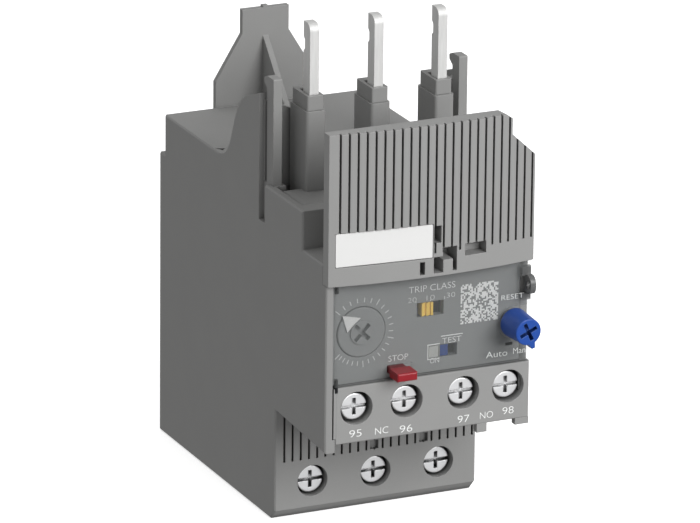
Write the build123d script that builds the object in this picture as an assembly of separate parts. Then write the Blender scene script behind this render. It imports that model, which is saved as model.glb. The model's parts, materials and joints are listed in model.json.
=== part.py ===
from build123d import *
from math import atan2, degrees, sqrt
import os

os.makedirs("parts", exist_ok=True)

# Millimetres. Everything is drawn with y measured back from the front band, x from the
# middle plane and z up from the base. save() then moves it back by base_setback, which
# puts the origin near the middle of the base face.

base_setback = 56.0          # front band to the part's origin

# Walls and clearances
wall = 1.6
floor_thickness = 1.6
edge_break = 0.3             # small chamfer on moulded edges
edge_soft = 0.2              # smaller one on inset pieces
fit_gap = 0.1                # between pieces that sit in each other
running_gap = 0.05           # between a shaft and its bearing
free_gap = 0.3               # between pieces that move past each other
overcut = 1.0                # how far a cutting tool runs out into the air
bite = 0.1                   # how far two bodies of one moulding run into each other

# Three main terminals side by side set the width
main_pitch = 14.1
foot_spacing = 1.1           # between the feet of two towers

# Heights, from the base up
main_z = 7.65                # axis of the main screws
front_floor = 22.7           # underside of the front chamber, at its front
front_floor_fall = 1.2       # how much higher it meets the lower block
control_rise = 7.2           # control screws above the tray's floor
panel_rise = 4.8             # foot of the setting panel above the control screws
panel_height = 21.7
band_height = 4.0            # plain band below the ribbed cover's label
upper_box_height = 8.0       # top of the rear box above the shelf
step_drop = 8.8              # step in the back face below the top of the box
cover_height = 31.4          # ribbed cover, above the panel

# Depths, from the front band back
side_front = 0.9             # front edge of the side walls
box_front = 12.5             # front face of the upper box
lower_front = 25.0           # front face of the lower terminal block
body_depth = 84.3
step_depth = 2.7
toe_chamfer = 2.2

# Back cover of the housing
back_cover_thickness = 2.0
back_ledge_width = 1.2
back_ledge_depth = 1.6
vent_count = 5
vent_pitch = 5.0
vent_width = 20.0
vent_height = 1.4
vent_depth = 0.6
vent_foot = 22.0

# Ears, posts and hook plate on top of the housing
ear_thickness = 1.5
ear_front = 33.7
ear_foot = 53.8
ear_height = 18.5
ear_curve = [(0.174, 0.07), (0.408, 0.55), (0.652, 0.854), (0.851, 0.94)]  # of run, of height
slot_width = 2.9             # upright slot in the side wall, ahead of the ear
slot_depth = 1.1
web_thickness = 1.5
web_reach = 5.5
web_height = 17.5
web_fall = 3.0
web_lead = 0.2               # how far the web stands ahead of the ear
post_width = 1.9
post_depth = 3.1
post_height = 22.3
post_lip = 1.5
post_lead = 1.5              # how far the post stands ahead of the slot
post_head = 2.6
post_lip_height = 1.0
post_tip = 0.6
post_edge = 0.25
hook_thickness = 1.3
hook_inset = 0.3             # how far the plate is set into the upper back wall
hook_half_width = 11.2
hook_neck_half_width = 5.25
hook_height = 20.6
hook_shoulder = 5.7
hook_slope_rise = 9.7
hook_tip_half_width = 0.6
hook_tip_height = 0.4
gusset_thickness = 1.2
gusset_rise = 14.6
gusset_reach = 13.6
mark_setback = 1.2           # triangular mark in the top face behind each ear
mark_inset = 1.4
mark_reach = 2.0
mark_depth = 1.4

# Lower terminal block
main_well_radius = 3.35
main_head_radius = 2.95
main_head_height = 3.6
main_head_recess = 1.3
main_shank_radius = 2.4
main_travel = 5.0
main_wire_space = 7.0
main_cage_width = 8.8
main_cage_height = 8.4
main_cage_wall = 1.0
main_cage_end_wall = 1.8
main_strip = 1.6
main_lip = 1.2               # wall that holds the screw's head back
block_cap = 2.0              # solid height above the clamps
guide_cap = 1.0
guide_tail = 1.0             # how far the guides run past the clamps
rail_bite = 0.6              # how far the foot rails reach under a clamp
entry_drop = 1.1             # top of the wire entry below the screw's well
lug_xs = [-0.4, 10.7]        # two square sockets above the wells
lug_size = 1.9
lug_rise = 4.9
block_groove_inset = 2.1
block_groove_foot = 4.75     # above the screws' axis

# Ribbed front cover and its band
cover_thickness = 2.4
front_bow = 1.9              # how far its middle stands ahead of its sides
cover_lip = 2.6
cover_lip_wall = 1.0
groove_pitch = 1.827
groove_width = 0.46
groove_depth = 0.9
groove_inset = 2.3
groove_margin = 0.6          # least space left beside the last groove
groove_rise = 0.8            # foot of the grooves above the shelf
corner_step = 5.5
corner_drop = 4.3
corner_slope = 5.0
top_nick = 1.7
label_width = 20.4
label_height = 6.9
label_thickness = 0.8
label_left = 1.5             # from the cover's left edge
label_seat = 0.05
label_corner = 0.2
pocket_start = 0.2           # first pocket, from the end of the label
pocket_depth = 1.5
latch_window_x = 2.0
latch_window_width = 3.1
latch_window_drop = 0.8
latch_window_height = 2.6
cover_pockets = [            # from the first pocket, from the shelf, width, height
    (0.0, 2.9, 1.6, 3.6),
    (6.9, -0.6, 4.8, 1.2),
]
cover_gaps = [               # the same, but right through the cover
    (0.0, -3.4, 2.1, 3.4),
    (4.2, -3.3, 0.9, 2.8),
    (6.9, 0.6, 4.8, 1.3),
    (-3.0, -3.4, 1.1, 2.7),
]

# Setting panel and hinged window
panel_front = 2.5
panel_thickness = 1.6
panel_play = 0.05
window_front = 0.5
window_thickness = 1.1
window_hinge_inset = 2.45    # hinge axis from the housing's left side
hinge_pin_radius = 0.35
hinge_pin_grip = 1.0         # length held in the moulding
hinge_pin_depth = 1.6        # depth of the bore in the window's barrel
hinge_pin_end_play = 0.1
seal_inset = 0.7             # sealing eye, from the housing's right side
seal_rise = 16.6
seal_height = 3.9
seal_width = 1.2
seal_reach = 2.2
seal_nose = 1.6
seal_hole_radius = 0.9
seal_hole_reach = 0.7
seal_slot_width = 1.6

# Dial and the potentiometer behind it
dial_inset = 8.4             # from the housing's left side
dial_rise = 10.6             # above the foot of the panel
dial_front = 2.2
dial_radius = 5.2
dial_play = 0.15
dial_boss_radius = 2.5
dial_boss_height = 0.3
dial_shaft_radius = 1.5
dial_shaft_length = 5.5
dial_neck_inset = 0.6
dial_flange_reach = 0.5
dial_flange = 0.6
dial_recess_reach = 2.2
dial_recess_width = 0.9
dial_recess_depth = 0.9
dial_recess_turn = 45.0
pointer_thickness = 0.28
pot_front = 3.9              # switch and potentiometer bodies behind the panel's back
pot_half = 4.5
pot_corner = 0.8
pot_bore_depth = 2.2

# Class switch
class_offset = 15.15         # from the dial's axis
class_rise = 13.4
class_window_width = 5.9
class_window_height = 3.0
class_tab_width = 2.5
class_tab_inset = 1.0
class_stem_length = 5.2
class_stem_width = 1.2
class_stem_height = 1.4
class_body_width = 8.8
class_body_height = 6.2
class_slot_margin = 0.3
rib_height = 0.3
tab_recess = 0.4             # face of a tab behind the dial's face
tab_play = 0.15

# Test slide, its switch and the light pipe
test_offset = 19.3
test_rise = 4.2
test_window_width = 3.8
test_window_height = 2.6
test_tab_width = 1.7
test_tab_inset = 0.1
test_stem_width = 1.0
test_stem_length = 6.0
test_stem_drop = 0.4
test_stem_height = 1.0
test_body_front = 4.9        # behind the panel's back
test_body_left = 2.55
test_body_right = 2.8
test_body_drop = 1.3
test_body_rise = 1.9
test_slot_depth = 1.6
light_offset = 16.05
light_size = 2.1
light_length = 4.8           # behind the panel's back

# Stop button
stop_offset = 7.6
stop_rise = 1.9
stop_width = 4.35
stop_height = 1.75
stop_reach = 6.0             # out of the panel
stop_travel = 2.0
stop_edge = 0.35
stop_stem_width_inset = 0.5
stop_stem_height_inset = 0.15
stop_stem_end = 10.0
stop_spring_radius = 0.6
stop_spring_wire = 0.24
stop_spring_length = 4.6
stop_spring_turns = 7
stop_seat_thickness = 1.0
stop_seat_left = 2.9
stop_seat_right = 2.1
stop_seat_leg = 1.6
stop_seat_top = 1.2

# Reset rod and its knob
reset_inset = 3.7            # from the housing's right side
reset_rise = 8.7
reset_front_radius = 2.75
reset_base_radius = 3.05
reset_front = -6.0
reset_stem_radius = 1.3
reset_stem_setback = 2.6     # front of the rod behind the knob's face
reset_travel = 1.6
reset_flange_reach = 0.7
reset_flange = 0.8
reset_seat_front = 13.2      # seat that the return spring bears on
reset_seat_thickness = 1.2
reset_seat_half = 2.4
reset_rod_tail = 0.4
reset_knob_edge = 0.25
reset_recess_reach = 1.95
reset_recess_width = 0.8
reset_recess_depth = 1.6
reset_recess_turn = 65.0
reset_nub_foot = 2.3
reset_nub_tip = 3.7
reset_nub_half = 0.75
reset_nub_tip_half = 0.35
reset_nub_length = 2.2
reset_nub_turn = -18.0
reset_window_play = 0.45
reset_spring_reach = 0.35
reset_spring_wire = 0.3
reset_spring_turns = 5

# Control terminals 95 to 98
nc_first_inset = 5.3         # terminal 95, from the inside of the left wall
nc_spacing = 11.0
no_last_inset = 3.1          # terminal 98, from the inside of the right wall
no_spacing = 9.9
control_well_radius = 3.5
control_head_radius = 2.85
control_head_height = 2.3
control_head_recess = 1.3
control_shank_radius = 1.45
control_travel = 2.9
control_wire_space = 4.5
control_cage_width = 5.4
control_cage_height = 5.6
control_cage_wall = 0.6
control_end_wall = 1.0
control_strip = 0.6
control_lip = 0.7
control_tray_play_left = 0.7 # tray's left end to the inside of the wall
control_tray_play_right = 0.5
tray_front_inset = 0.5
tray_cap = 0.4
control_face_left = 2.3      # left end of the block's face, from the housing's side
tab_left_x = 11.0            # two tabs hanging below the front strip
tab_left_width = 2.2
tab_left_drop = 1.8
tab_right_width = 3.0
tab_right_drop = 1.3

# Screws
screw_slot = 0.8
screw_slot_reach = 1.1       # of the head's radius: the slot runs right across
screw_cross_reach = 0.62
screw_slot_share = 0.42      # of the head's height
screw_edge = 0.35
screw_tip = 0.3

# Plug bars and their insulating towers
bar_thickness = 2.0
bar_depth = 3.1
bar_inset = 1.3              # front of a bar behind the front of its tower
bar_length = 14.7            # out of the collar
bar_nose_radius = 1.6
bar_notch_drop = 3.2
bar_notch_depth = 0.6
bar_notch_height = 3.0
bar_run_gap = 0.4            # upper run below the shelf
bar_drop = 2.4               # down run behind the transformer's front leg
bar_foot_rise = 2.6          # lower run above the clamp
plate_play = 0.5
tower_width = 4.3
tower_front = 24.5
tower_depth = 8.6
tower_rise = 16.3            # above the top of the box
tower_corner = 0.7
tower_recess_gap = 1.1
tower_recess_side = 2.5
collar_width = 3.6
collar_height = 3.1
collar_front_inset = 0.5
collar_back_inset = 0.6
collar_corner = 0.4
collar_relief = 1.7
collar_relief_foot = 1.0
spigot_length = 5.0
spigot_wall = 0.4
spigot_front = 0.35
spigot_back = 2.2
foot_front = 16.3
foot_depth = 12.2
foot_drop = 0.4              # top of a foot below the top of the box
foot_round = 1.8

# Current transformers
core_spacing = 1.7           # between two cores
core_front = 38.0
core_depth = 21.5
core_height = 14.0
core_rise = 8.5              # above the front chamber's floor
core_leg = 3.5
core_rear_leg = 4.5
core_side = 2.8
coil_build = 2.3
coil_play = 0.4
coil_corner = 1.5
beam_depth = 2.0
beam_drop = 15.75            # foot of the front beam below the cores
rear_beam_inset = 1.0
rear_beam_height = 3.0
rear_beam_gap = 1.0

# Circuit board and what stands on it
board_front = 15.5
board_thickness = 1.6
board_rise = 3.7             # above the foot of the panel
board_height = 17.5
rail_thickness = 0.8
rail_reach = 1.0
rail_foot = 1.5
rail_rise = 8.5
filter_radius = 3.4          # two round capacitors behind the dial
filter_length = 8.0
filter_rise = 10.0
small_filter_radius = 2.4
small_filter_length = 6.0
small_filter_rise = 3.6
chip_inset = 7.9             # processor, from the inside of the right wall
chip_size = 7.0
chip_height = 1.4
chip_rise = 6.0
choke_size = 2.5
choke_height = 2.2
choke_depth = 3.0
choke_spacing = 4.0
choke_rise = 1.5
driver_gap = 3.05            # driver chip, beside the class switch
driver_width = 5.5
driver_height = 1.3
driver_rise = 9.0
diode_width = 3.0
diode_size = 2.0
diode_height = 1.5
diode_inset = 12.9           # two diodes, from the inside of the left wall
diode_rise = 3.0
diode_pitch = 3.2
lamp_width = 1.3
lamp_size = 1.2
lamp_gap = 1.0               # lamp behind the light pipe

# Trip magnet, plunger and contacts
magnet_setback = 6.4         # plunger's axis behind the board
magnet_rise = 3.0            # above the foot of the board
magnet_height = 12.0
magnet_width = 12.0
yoke_thickness = 2.0
magnet_coil_radius = 3.4
coil_clearance = 0.2
plunger_radius = 1.4
plunger_flange_radius = 2.4
plunger_flange = 1.0
plunger_gap = 1.5
carrier_drop = 1.05          # top of the carrier below the foot of the board
carrier_thickness = 1.95
carrier_travel = 1.5
carrier_half = 1.6
carrier_end = 1.4
carrier_lead = 3.7           # carrier's axis ahead of the plunger's
carrier_pad_half = 2.6
carrier_post_half = 1.2
carrier_post_inset = 0.3
bridge_thickness = 0.6
bridge_half = 1.4
bridge_reach = 0.8
contact_button = 0.35
contact_radius = 0.7
contact_open_gap = 0.1       # left between the open contacts at full stroke
guide_radius = 1.2
guide_offset = 0.2
guide_tip = 0.6
no_contact_drop = 0.5
tongue_half = 1.0
tongue_gap = 0.2             # tongue above the clamps
tongue_drop_gap = 0.5
tongue_tip = 1.2
strip_play = 0.3

# Worked out from the sizes above
foot_width = main_pitch - foot_spacing
inner_half = main_pitch + foot_width / 2 + free_gap
half = inner_half + wall
main_xs = [-main_pitch, 0.0, main_pitch]
terminal_95_x = -inner_half + nc_first_inset
terminal_98_x = inner_half - no_last_inset
nc_xs = [terminal_95_x, terminal_95_x + nc_spacing]
no_xs = [terminal_98_x - no_spacing, terminal_98_x]
control_xs = nc_xs + no_xs
hinge_x = -half + window_hinge_inset
dial_x = -half + dial_inset
class_x = dial_x + class_offset
test_x = dial_x + test_offset
light_x = dial_x + light_offset
stop_x = dial_x + stop_offset
reset_x = half - reset_inset
seal_x = half - seal_inset

front_floor_back = front_floor + front_floor_fall
chamber_floor = front_floor_back + floor_thickness
control_tray_floor = front_floor + floor_thickness
control_z = control_tray_floor + control_rise
panel_bottom = control_z + panel_rise
band_bottom = panel_bottom + panel_height
shelf_top = band_bottom + band_height
shelf_bottom = shelf_top - wall
box_top = shelf_top + upper_box_height
step_height = box_top - step_drop
cover_top = band_bottom + cover_height
tower_top = box_top + tower_rise
bar_top = tower_top + collar_height + bar_length
dial_z = panel_bottom + dial_rise
class_z = panel_bottom + class_rise
test_z = panel_bottom + test_rise
stop_z = panel_bottom + stop_rise
reset_z = panel_bottom + reset_rise
seal_z = panel_bottom + seal_rise
core_bottom = chamber_floor + core_rise
board_bottom = panel_bottom + board_rise
board_top = board_bottom + board_height
magnet_bottom = board_bottom + magnet_rise
magnet_top = magnet_bottom + magnet_height
carrier_top = board_bottom - carrier_drop
carrier_bottom = carrier_top - carrier_thickness

upper_back = body_depth - step_depth
hook_front = upper_back - hook_inset
foot_recess_back = tower_front + tower_depth + tower_recess_gap
foot_back = foot_front + foot_depth
bar_front = tower_front + bar_inset
bow_radius = (half ** 2 + front_bow ** 2) / (2 * front_bow)
hinge_radius = window_thickness / 2
hinge_y = window_front + hinge_radius
panel_back = panel_front + panel_thickness
board_back = board_front + board_thickness
magnet_y = board_back + magnet_setback
carrier_y = magnet_y - carrier_lead
guide_y = carrier_y - guide_offset
stop_spring_end = stop_stem_end + stop_spring_length

main_head_back = lower_front + main_head_recess + main_head_height
main_lip_back = main_head_back + fit_gap + main_lip
main_cage_front = main_lip_back + free_gap + main_travel
main_plate_front = main_cage_front + main_cage_end_wall + free_gap
main_plate_back = main_plate_front + main_strip
main_cage_inner_back = main_plate_back + main_wire_space
main_cage_back = main_cage_inner_back + main_cage_end_wall
main_cage_top = main_z + main_cage_height / 2
main_cage_bottom = main_z - main_cage_height / 2

control_head_back = side_front + control_head_recess + control_head_height
control_lip_back = control_head_back + fit_gap + control_lip
control_cage_front = control_lip_back + free_gap + control_travel
control_plate_front = control_cage_front + control_end_wall + free_gap
control_plate_back = control_plate_front + control_strip
control_cage_inner_back = control_plate_back + control_wire_space
control_cage_back = control_cage_inner_back + control_end_wall
control_tray_back = control_cage_back + free_gap
control_tray_left = -inner_half + control_tray_play_left
control_tray_right = inner_half - control_tray_play_right
control_tongue_z = control_z + control_cage_height / 2 + tongue_gap
nc_bridge_top = control_tongue_z - running_gap - contact_button
no_fixed_top = control_z - no_contact_drop
no_bridge_bottom = no_fixed_top + carrier_travel + contact_open_gap + contact_button


# Basic shapes

def block(x0, x1, y0, y1, z0, z1):
    corner = Plane(origin=(x0, y0, z0))
    return Solid.make_box(x1 - x0, y1 - y0, z1 - z0, corner)


def side_block(side, reach0, reach1, y0, y1, z0, z1):
    x0 = side * reach0
    x1 = side * reach1
    return block(min(x0, x1), max(x0, x1), y0, y1, z0, z1)


def centred_block(x, z, width, height, y0, y1):
    return block(x - width / 2, x + width / 2, y0, y1, z - height / 2, z + height / 2)


def post_x(y, z, radius, x0, x1):
    return Solid.make_cylinder(radius, x1 - x0, Plane(origin=(x0, y, z), z_dir=(1, 0, 0)))


def post_y(x, z, radius, y0, y1):
    return Solid.make_cylinder(radius, y1 - y0, Plane(origin=(x, y0, z), z_dir=(0, 1, 0)))


def post_z(x, y, radius, z0, z1):
    return Solid.make_cylinder(radius, z1 - z0, Plane(origin=(x, y, z0)))


def cone_y(x, z, front_radius, back_radius, y0, y1):
    plane = Plane(origin=(x, y0, z), z_dir=(0, 1, 0))
    return Solid.make_cone(front_radius, back_radius, y1 - y0, plane)


def prism_x(outline, x0, x1):
    points = [(x0, y, z) for y, z in outline]
    face = make_face(Polyline(*points, close=True))
    return extrude(face, amount=x1 - x0, dir=(1, 0, 0)).solid()


def prism_y(outline, y0, y1):
    points = [(x, y0, z) for x, z in outline]
    face = make_face(Polyline(*points, close=True))
    return extrude(face, amount=y1 - y0, dir=(0, 1, 0)).solid()


def join(first, *others):
    return Part() + [first, *others]


def rounded(shape, axis, radius):
    return fillet(shape.edges().filter_by(axis), radius)


def front_chamfer(shape, size):
    return chamfer(shape.faces().sort_by(Axis.Y)[0].edges(), size)


def bow_y(x):
    return bow_radius - front_bow - sqrt(bow_radius ** 2 - x ** 2)


def grooves(x_first, x_last, z0, z1, face_y):
    cuts = []
    count = int((x_last - x_first) / groove_pitch) + 1
    for index in range(count):
        x = x_first + index * groove_pitch
        cuts.append(block(x - groove_width / 2, x + groove_width / 2,
                          face_y(x) - overcut, face_y(x) + groove_depth, z0, z1))
    return cuts


def label_place(shape):
    # turns a shape drawn at the cover's flat edge onto the bowed face, at the label's left end
    x0 = -half + label_left
    rise = bow_y(x0 + label_width) - bow_y(x0)
    turn = degrees(atan2(rise, label_width))
    return shape.rotate(Axis.Z, turn).moved(Location((x0, bow_y(x0), 0)))


def cross_recess(x, z, reach, width, y0, y1, turn):
    cuts = []
    for angle in (turn, turn + 90):
        bar = block(-reach, reach, y0, y1, -width / 2, width / 2)
        cuts.append(bar.rotate(Axis.Y, angle).moved(Location((x, 0, z))))
    return cuts


def save(name, shape):
    whole = Part() + shape if isinstance(shape, list) else shape
    placed = whole.moved(Location((0, -base_setback, 0)))
    export_step(placed, "parts/" + name + ".step")


# Rear housing: one deep moulding with the lower terminal block, ears and hook plate

def outer_body():
    side = [
        (lower_front + toe_chamfer, 0),
        (body_depth, 0),
        (body_depth, step_height),
        (upper_back, step_height),
        (upper_back, box_top),
        (box_front, box_top),
        (box_front, shelf_top),
        (cover_thickness, shelf_top),
        (cover_thickness, band_bottom),
        (side_front, band_bottom),
        (side_front, front_floor),
        (lower_front - front_floor_fall, front_floor_back),
        (lower_front, front_floor_back),
        (lower_front, toe_chamfer),
    ]
    body = prism_x(side, -half, half)
    side_edges = body.edges().filter_by(lambda edge: abs(edge.center().X) > half - bite)
    return chamfer(side_edges, edge_break)


def body_hollow():
    back_opening_top = step_height - wall
    hollow = [
        (lower_front + wall, floor_thickness),
        (body_depth + overcut, floor_thickness),
        (body_depth + overcut, back_opening_top),
        (upper_back - wall, back_opening_top),
        (upper_back - wall, box_top - wall),
        (foot_recess_back + wall, box_top - wall),
        (foot_recess_back + wall, shelf_bottom),
        (-overcut, shelf_bottom),
        (-overcut, chamber_floor),
        (lower_front + wall, chamber_floor),
    ]
    return prism_x(hollow, -inner_half, inner_half)


def bar_slot(x, z0, z1, play):
    return block(x - bar_thickness / 2 - play, x + bar_thickness / 2 + play,
                 bar_front - play, bar_front + bar_depth + play, z0, z1)


def tower_recess():
    tower_half = main_pitch + tower_width / 2 + tower_recess_side
    below = block(-inner_half, inner_half, box_front + wall, foot_recess_back,
                  shelf_top, box_top - wall)
    wide = block(-inner_half, inner_half, foot_front - free_gap, foot_back + free_gap,
                 shelf_top, box_top + overcut)
    narrow = block(-tower_half, tower_half, foot_front, foot_recess_back,
                   shelf_top, box_top + overcut)
    bar_ways = [bar_slot(x, shelf_bottom - overcut, shelf_top + overcut, free_gap)
                for x in main_xs]
    return [below, wide, narrow, *bar_ways]


def front_openings():
    right_wall_front = block(inner_half - overcut, half + overcut, -overcut, panel_front,
                             front_floor - overcut, band_bottom)
    tray = block(control_tray_left - fit_gap, control_tray_right + fit_gap, -overcut,
                 control_tray_back + fit_gap, front_floor - overcut, chamber_floor + overcut)
    return [right_wall_front, tray]


def lower_block():
    solids = [block(-inner_half, inner_half, lower_front + wall, main_lip_back,
                    floor_thickness, main_cage_top + block_cap)]
    lane = main_cage_width / 2 + free_gap
    guide_back = main_cage_back + guide_tail
    lefts = [-inner_half] + [x + lane for x in main_xs]
    rights = [x - lane for x in main_xs] + [inner_half]
    for x0, x1 in zip(lefts, rights):
        solids.append(block(x0, x1, main_lip_back, guide_back, floor_thickness,
                            main_cage_top + guide_cap))
    for x in main_xs:
        for side in (-1, 1):
            x0 = x + side * lane
            x1 = x + side * (main_cage_width / 2 - rail_bite)
            solids.append(block(min(x0, x1), max(x0, x1), main_lip_back, guide_back,
                                floor_thickness, main_cage_bottom - free_gap))
    return solids


def lower_block_holes():
    cuts = []
    way_half = main_cage_width / 2 - main_cage_wall + free_gap - fit_gap
    entry_top = main_z - main_well_radius - entry_drop
    for x in main_xs:
        cuts.append(post_y(x, main_z, main_well_radius, lower_front - overcut,
                           main_head_back + fit_gap))
        cuts.append(post_y(x, main_z, main_shank_radius + fit_gap, lower_front,
                           main_lip_back + overcut))
        cuts.append(block(x - way_half, x + way_half, lower_front + toe_chamfer + wall,
                          main_cage_inner_back - fit_gap, -overcut, entry_top))
    lug_z = main_z + lug_rise + lug_size / 2
    for x in lug_xs:
        cuts.append(centred_block(x, lug_z, lug_size, lug_size, lower_front - overcut,
                                  lower_front + overcut))
    return cuts


def transformer_beams():
    front_beam = block(-inner_half, inner_half, core_front, core_front + beam_depth,
                       core_bottom - beam_drop, core_bottom)
    rear_y = core_front + core_depth - core_rear_leg + rear_beam_inset
    rear_top = core_bottom - coil_build - rear_beam_gap
    rear_beam = block(-inner_half, inner_half, rear_y, rear_y + beam_depth,
                      rear_top - rear_beam_height, rear_top)
    pieces = [front_beam, rear_beam]
    core_half = (main_pitch - core_spacing) / 2
    pad_inner = core_half - core_side
    for x in main_xs:
        for side in (-1, 1):
            x0 = x + side * pad_inner
            x1 = x + side * core_half
            pieces.append(block(min(x0, x1), max(x0, x1), rear_y, rear_y + beam_depth,
                                rear_top - bite, core_bottom))
    return pieces


def ear(side):
    x0 = half - ear_thickness if side > 0 else -half
    run = ear_foot - ear_front
    points = [(ear_foot, box_top)]
    points += [(ear_foot - run * back, box_top + ear_height * up) for back, up in ear_curve]
    points += [(ear_front, box_top + ear_height)]
    curve = Spline(*[(x0, y, z) for y, z in points])
    root = box_top - wall
    rest = Polyline((x0, ear_front, box_top + ear_height), (x0, ear_front, root),
                    (x0, ear_foot, root), (x0, ear_foot, box_top))
    face = make_face([curve, *rest.edges()])
    plate = extrude(face, amount=ear_thickness, dir=(1, 0, 0)).solid()
    web_outer = side * (half - bite)
    web_inner = side * (half - ear_thickness - web_reach)
    web_front = ear_front - web_lead
    web = prism_y([
        (web_outer, root),
        (web_inner, root),
        (web_inner, box_top + web_height - web_fall),
        (web_outer, box_top + web_height),
    ], web_front, web_front + web_thickness)
    return [plate, web]


def post(side):
    outer = side * (half - slot_depth)
    inner = side * (half - slot_depth - post_width)
    y0 = ear_front - slot_width - post_lead
    y1 = y0 + post_depth
    top = box_top + post_height
    lip_foot = top - post_tip - post_lip_height
    outline = [
        (y0, box_top - wall),
        (y1, box_top - wall),
        (y1, top - post_head),
        (y1 + post_lip, lip_foot),
        (y1 + post_lip, top - post_tip),
        (y1, top),
        (y0, top),
    ]
    return rounded(prism_x(outline, min(outer, inner), max(outer, inner)), Axis.X, post_edge)


def side_slot(side):
    x0 = half - slot_depth if side > 0 else -half - overcut
    return block(x0, x0 + slot_depth + overcut, ear_front - slot_width, ear_front,
                 shelf_top, box_top + post_height)


def top_mark(side):
    x = side * (half - mark_inset)
    y = ear_foot + mark_setback
    corners = [(x, y), (x + side * mark_reach / 2, y + mark_reach), (x - side * mark_reach / 2, y + 1)]
    points = [(px, py, box_top + overcut) for px, py in corners]
    face = make_face(Polyline(*points, close=True))
    return extrude(face, amount=overcut + mark_depth, dir=(0, 0, -1)).solid()


def hook_plate():
    shoulder = box_top + hook_shoulder
    neck = shoulder + hook_slope_rise
    top = box_top + hook_height
    right_side = [
        (hook_half_width, step_height),
        (hook_half_width, shoulder),
        (hook_neck_half_width, neck),
        (hook_neck_half_width, top),
        (hook_tip_half_width, top),
        (hook_tip_half_width, top + hook_tip_height),
    ]
    left_side = [(-x, z) for x, z in reversed(right_side)]
    plate = prism_y(right_side + left_side, hook_front, hook_front + hook_thickness)
    gusset_back = hook_front + hook_thickness / 2
    gusset = prism_x([
        (gusset_back, box_top - wall / 2),
        (gusset_back, box_top + gusset_rise),
        (hook_front, box_top + gusset_rise),
        (hook_front - gusset_reach, box_top),
        (hook_front - gusset_reach, box_top - wall / 2),
    ], -gusset_thickness / 2, gusset_thickness / 2)
    return [plate, gusset]


def board_rails():
    rails = []
    inner = inner_half - rail_reach
    for side in (-1, 1):
        for y in (board_front - fit_gap - rail_thickness, board_back + fit_gap):
            rails.append(side_block(side, inner, inner_half, y, y + rail_thickness,
                                    board_bottom + rail_rise, board_top))
        rails.append(side_block(side, inner, inner_half, board_front, board_back,
                                board_bottom - rail_foot, board_bottom))
    return rails


def reset_seat():
    seat = block(reset_x - reset_seat_half, inner_half, reset_seat_front,
                 reset_seat_front + reset_seat_thickness,
                 reset_z - reset_seat_half, reset_z + reset_seat_half)
    bore = post_y(reset_x, reset_z, reset_stem_radius + running_gap,
                  reset_seat_front - overcut, reset_seat_front + reset_seat_thickness + overcut)
    return seat - bore


def back_ledges():
    depth = body_depth - back_cover_thickness - fit_gap
    return [side_block(side, inner_half - back_ledge_width, inner_half,
                       depth - back_ledge_depth, depth, floor_thickness, step_height - wall)
            for side in (-1, 1)]


def rear_housing():
    body = outer_body() - body_hollow() - tower_recess() - front_openings()
    solids = [body, *lower_block(), *transformer_beams(), *board_rails(), *back_ledges()]
    for side in (-1, 1):
        solids.extend(ear(side))
    solids.extend(hook_plate())
    shell = Part() + solids
    shell = shell - [side_slot(-1), side_slot(1), top_mark(-1), top_mark(1)]
    guide = post_z(0, guide_y, guide_radius, chamber_floor - bite, carrier_top + guide_tip)
    shell = shell + [post(-1), post(1), guide, reset_seat()]
    shell = shell - lower_block_holes()
    shell = shell - grooves(-half + block_groove_inset, half - groove_margin,
                            main_z + block_groove_foot, front_floor_back + overcut, lambda x: lower_front)
    save("rear_housing", shell)


def back_cover():
    x1 = inner_half - fit_gap
    plate = block(-x1, x1, body_depth - back_cover_thickness, body_depth,
                  floor_thickness + fit_gap, step_height - wall - fit_gap)
    plate = chamfer(plate.faces().sort_by(Axis.Y)[-1].edges(), edge_break)
    vents = []
    for index in range(vent_count):
        z = vent_foot + vent_pitch * index
        vents.append(block(-vent_width / 2, vent_width / 2, body_depth - vent_depth,
                           body_depth + overcut, z, z + vent_height))
    save("back_cover", plate - vents)


# Front cover with the label recess and the pockets beside it

def front_cover():
    right_step = half - corner_step
    outline = [
        (-half, band_bottom),
        (half, band_bottom),
        (half, cover_top - corner_slope - corner_drop),
        (right_step, cover_top - corner_drop),
        (right_step, cover_top - overcut),
        (right_step - top_nick, cover_top),
        (-half, cover_top),
    ]
    flat = prism_y(outline, -front_bow - overcut, cover_thickness)
    round_face = post_z(0, bow_radius - front_bow, bow_radius, band_bottom, cover_top)
    plate = flat & round_face
    lip_top = shelf_bottom - fit_gap
    lip_half = inner_half - fit_gap
    lip_back = cover_thickness + cover_lip
    lip = block(-lip_half, lip_half, cover_thickness - bite, lip_back,
                band_bottom + fit_gap, lip_top)
    lip_hollow = block(-inner_half + wall, inner_half - wall, cover_thickness,
                       lip_back + overcut, band_bottom - overcut,
                       lip_top - cover_lip_wall)
    cuts = grooves(-half + groove_inset, half - groove_margin, shelf_top + groove_rise,
                   cover_top + overcut, bow_y)
    front = -front_bow - overcut
    cuts.append(label_place(block(-fit_gap, label_width + fit_gap, -front_bow, groove_depth,
                                  shelf_top - fit_gap, shelf_top + label_height + fit_gap)))
    first = -half + label_left + label_width + pocket_start
    latch_z = shelf_top - latch_window_drop
    cuts.append(block(first + latch_window_x, first + latch_window_x + latch_window_width,
                      front, lip_back + overcut, latch_z, latch_z + latch_window_height))
    for places, depth in ((cover_pockets, pocket_depth), (cover_gaps, cover_thickness + bite)):
        for offset, rise, width, height in places:
            x = first + offset
            z = shelf_top + rise
            cuts.append(block(x, x + width, front, depth, z, z + height))
    cuts.append(post_z(hinge_x, hinge_y, hinge_pin_radius, band_bottom - overcut,
                       band_bottom + hinge_pin_grip))
    save("front_cover", join(plate, lip - lip_hollow) - cuts)


def marker_label():
    plate = block(0, label_width, label_seat, label_seat + label_thickness,
                  shelf_top, shelf_top + label_height)
    save("marker_label", label_place(rounded(plate, Axis.Y, label_corner)))


# Hinged window over the settings, with its sealing eye

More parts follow.
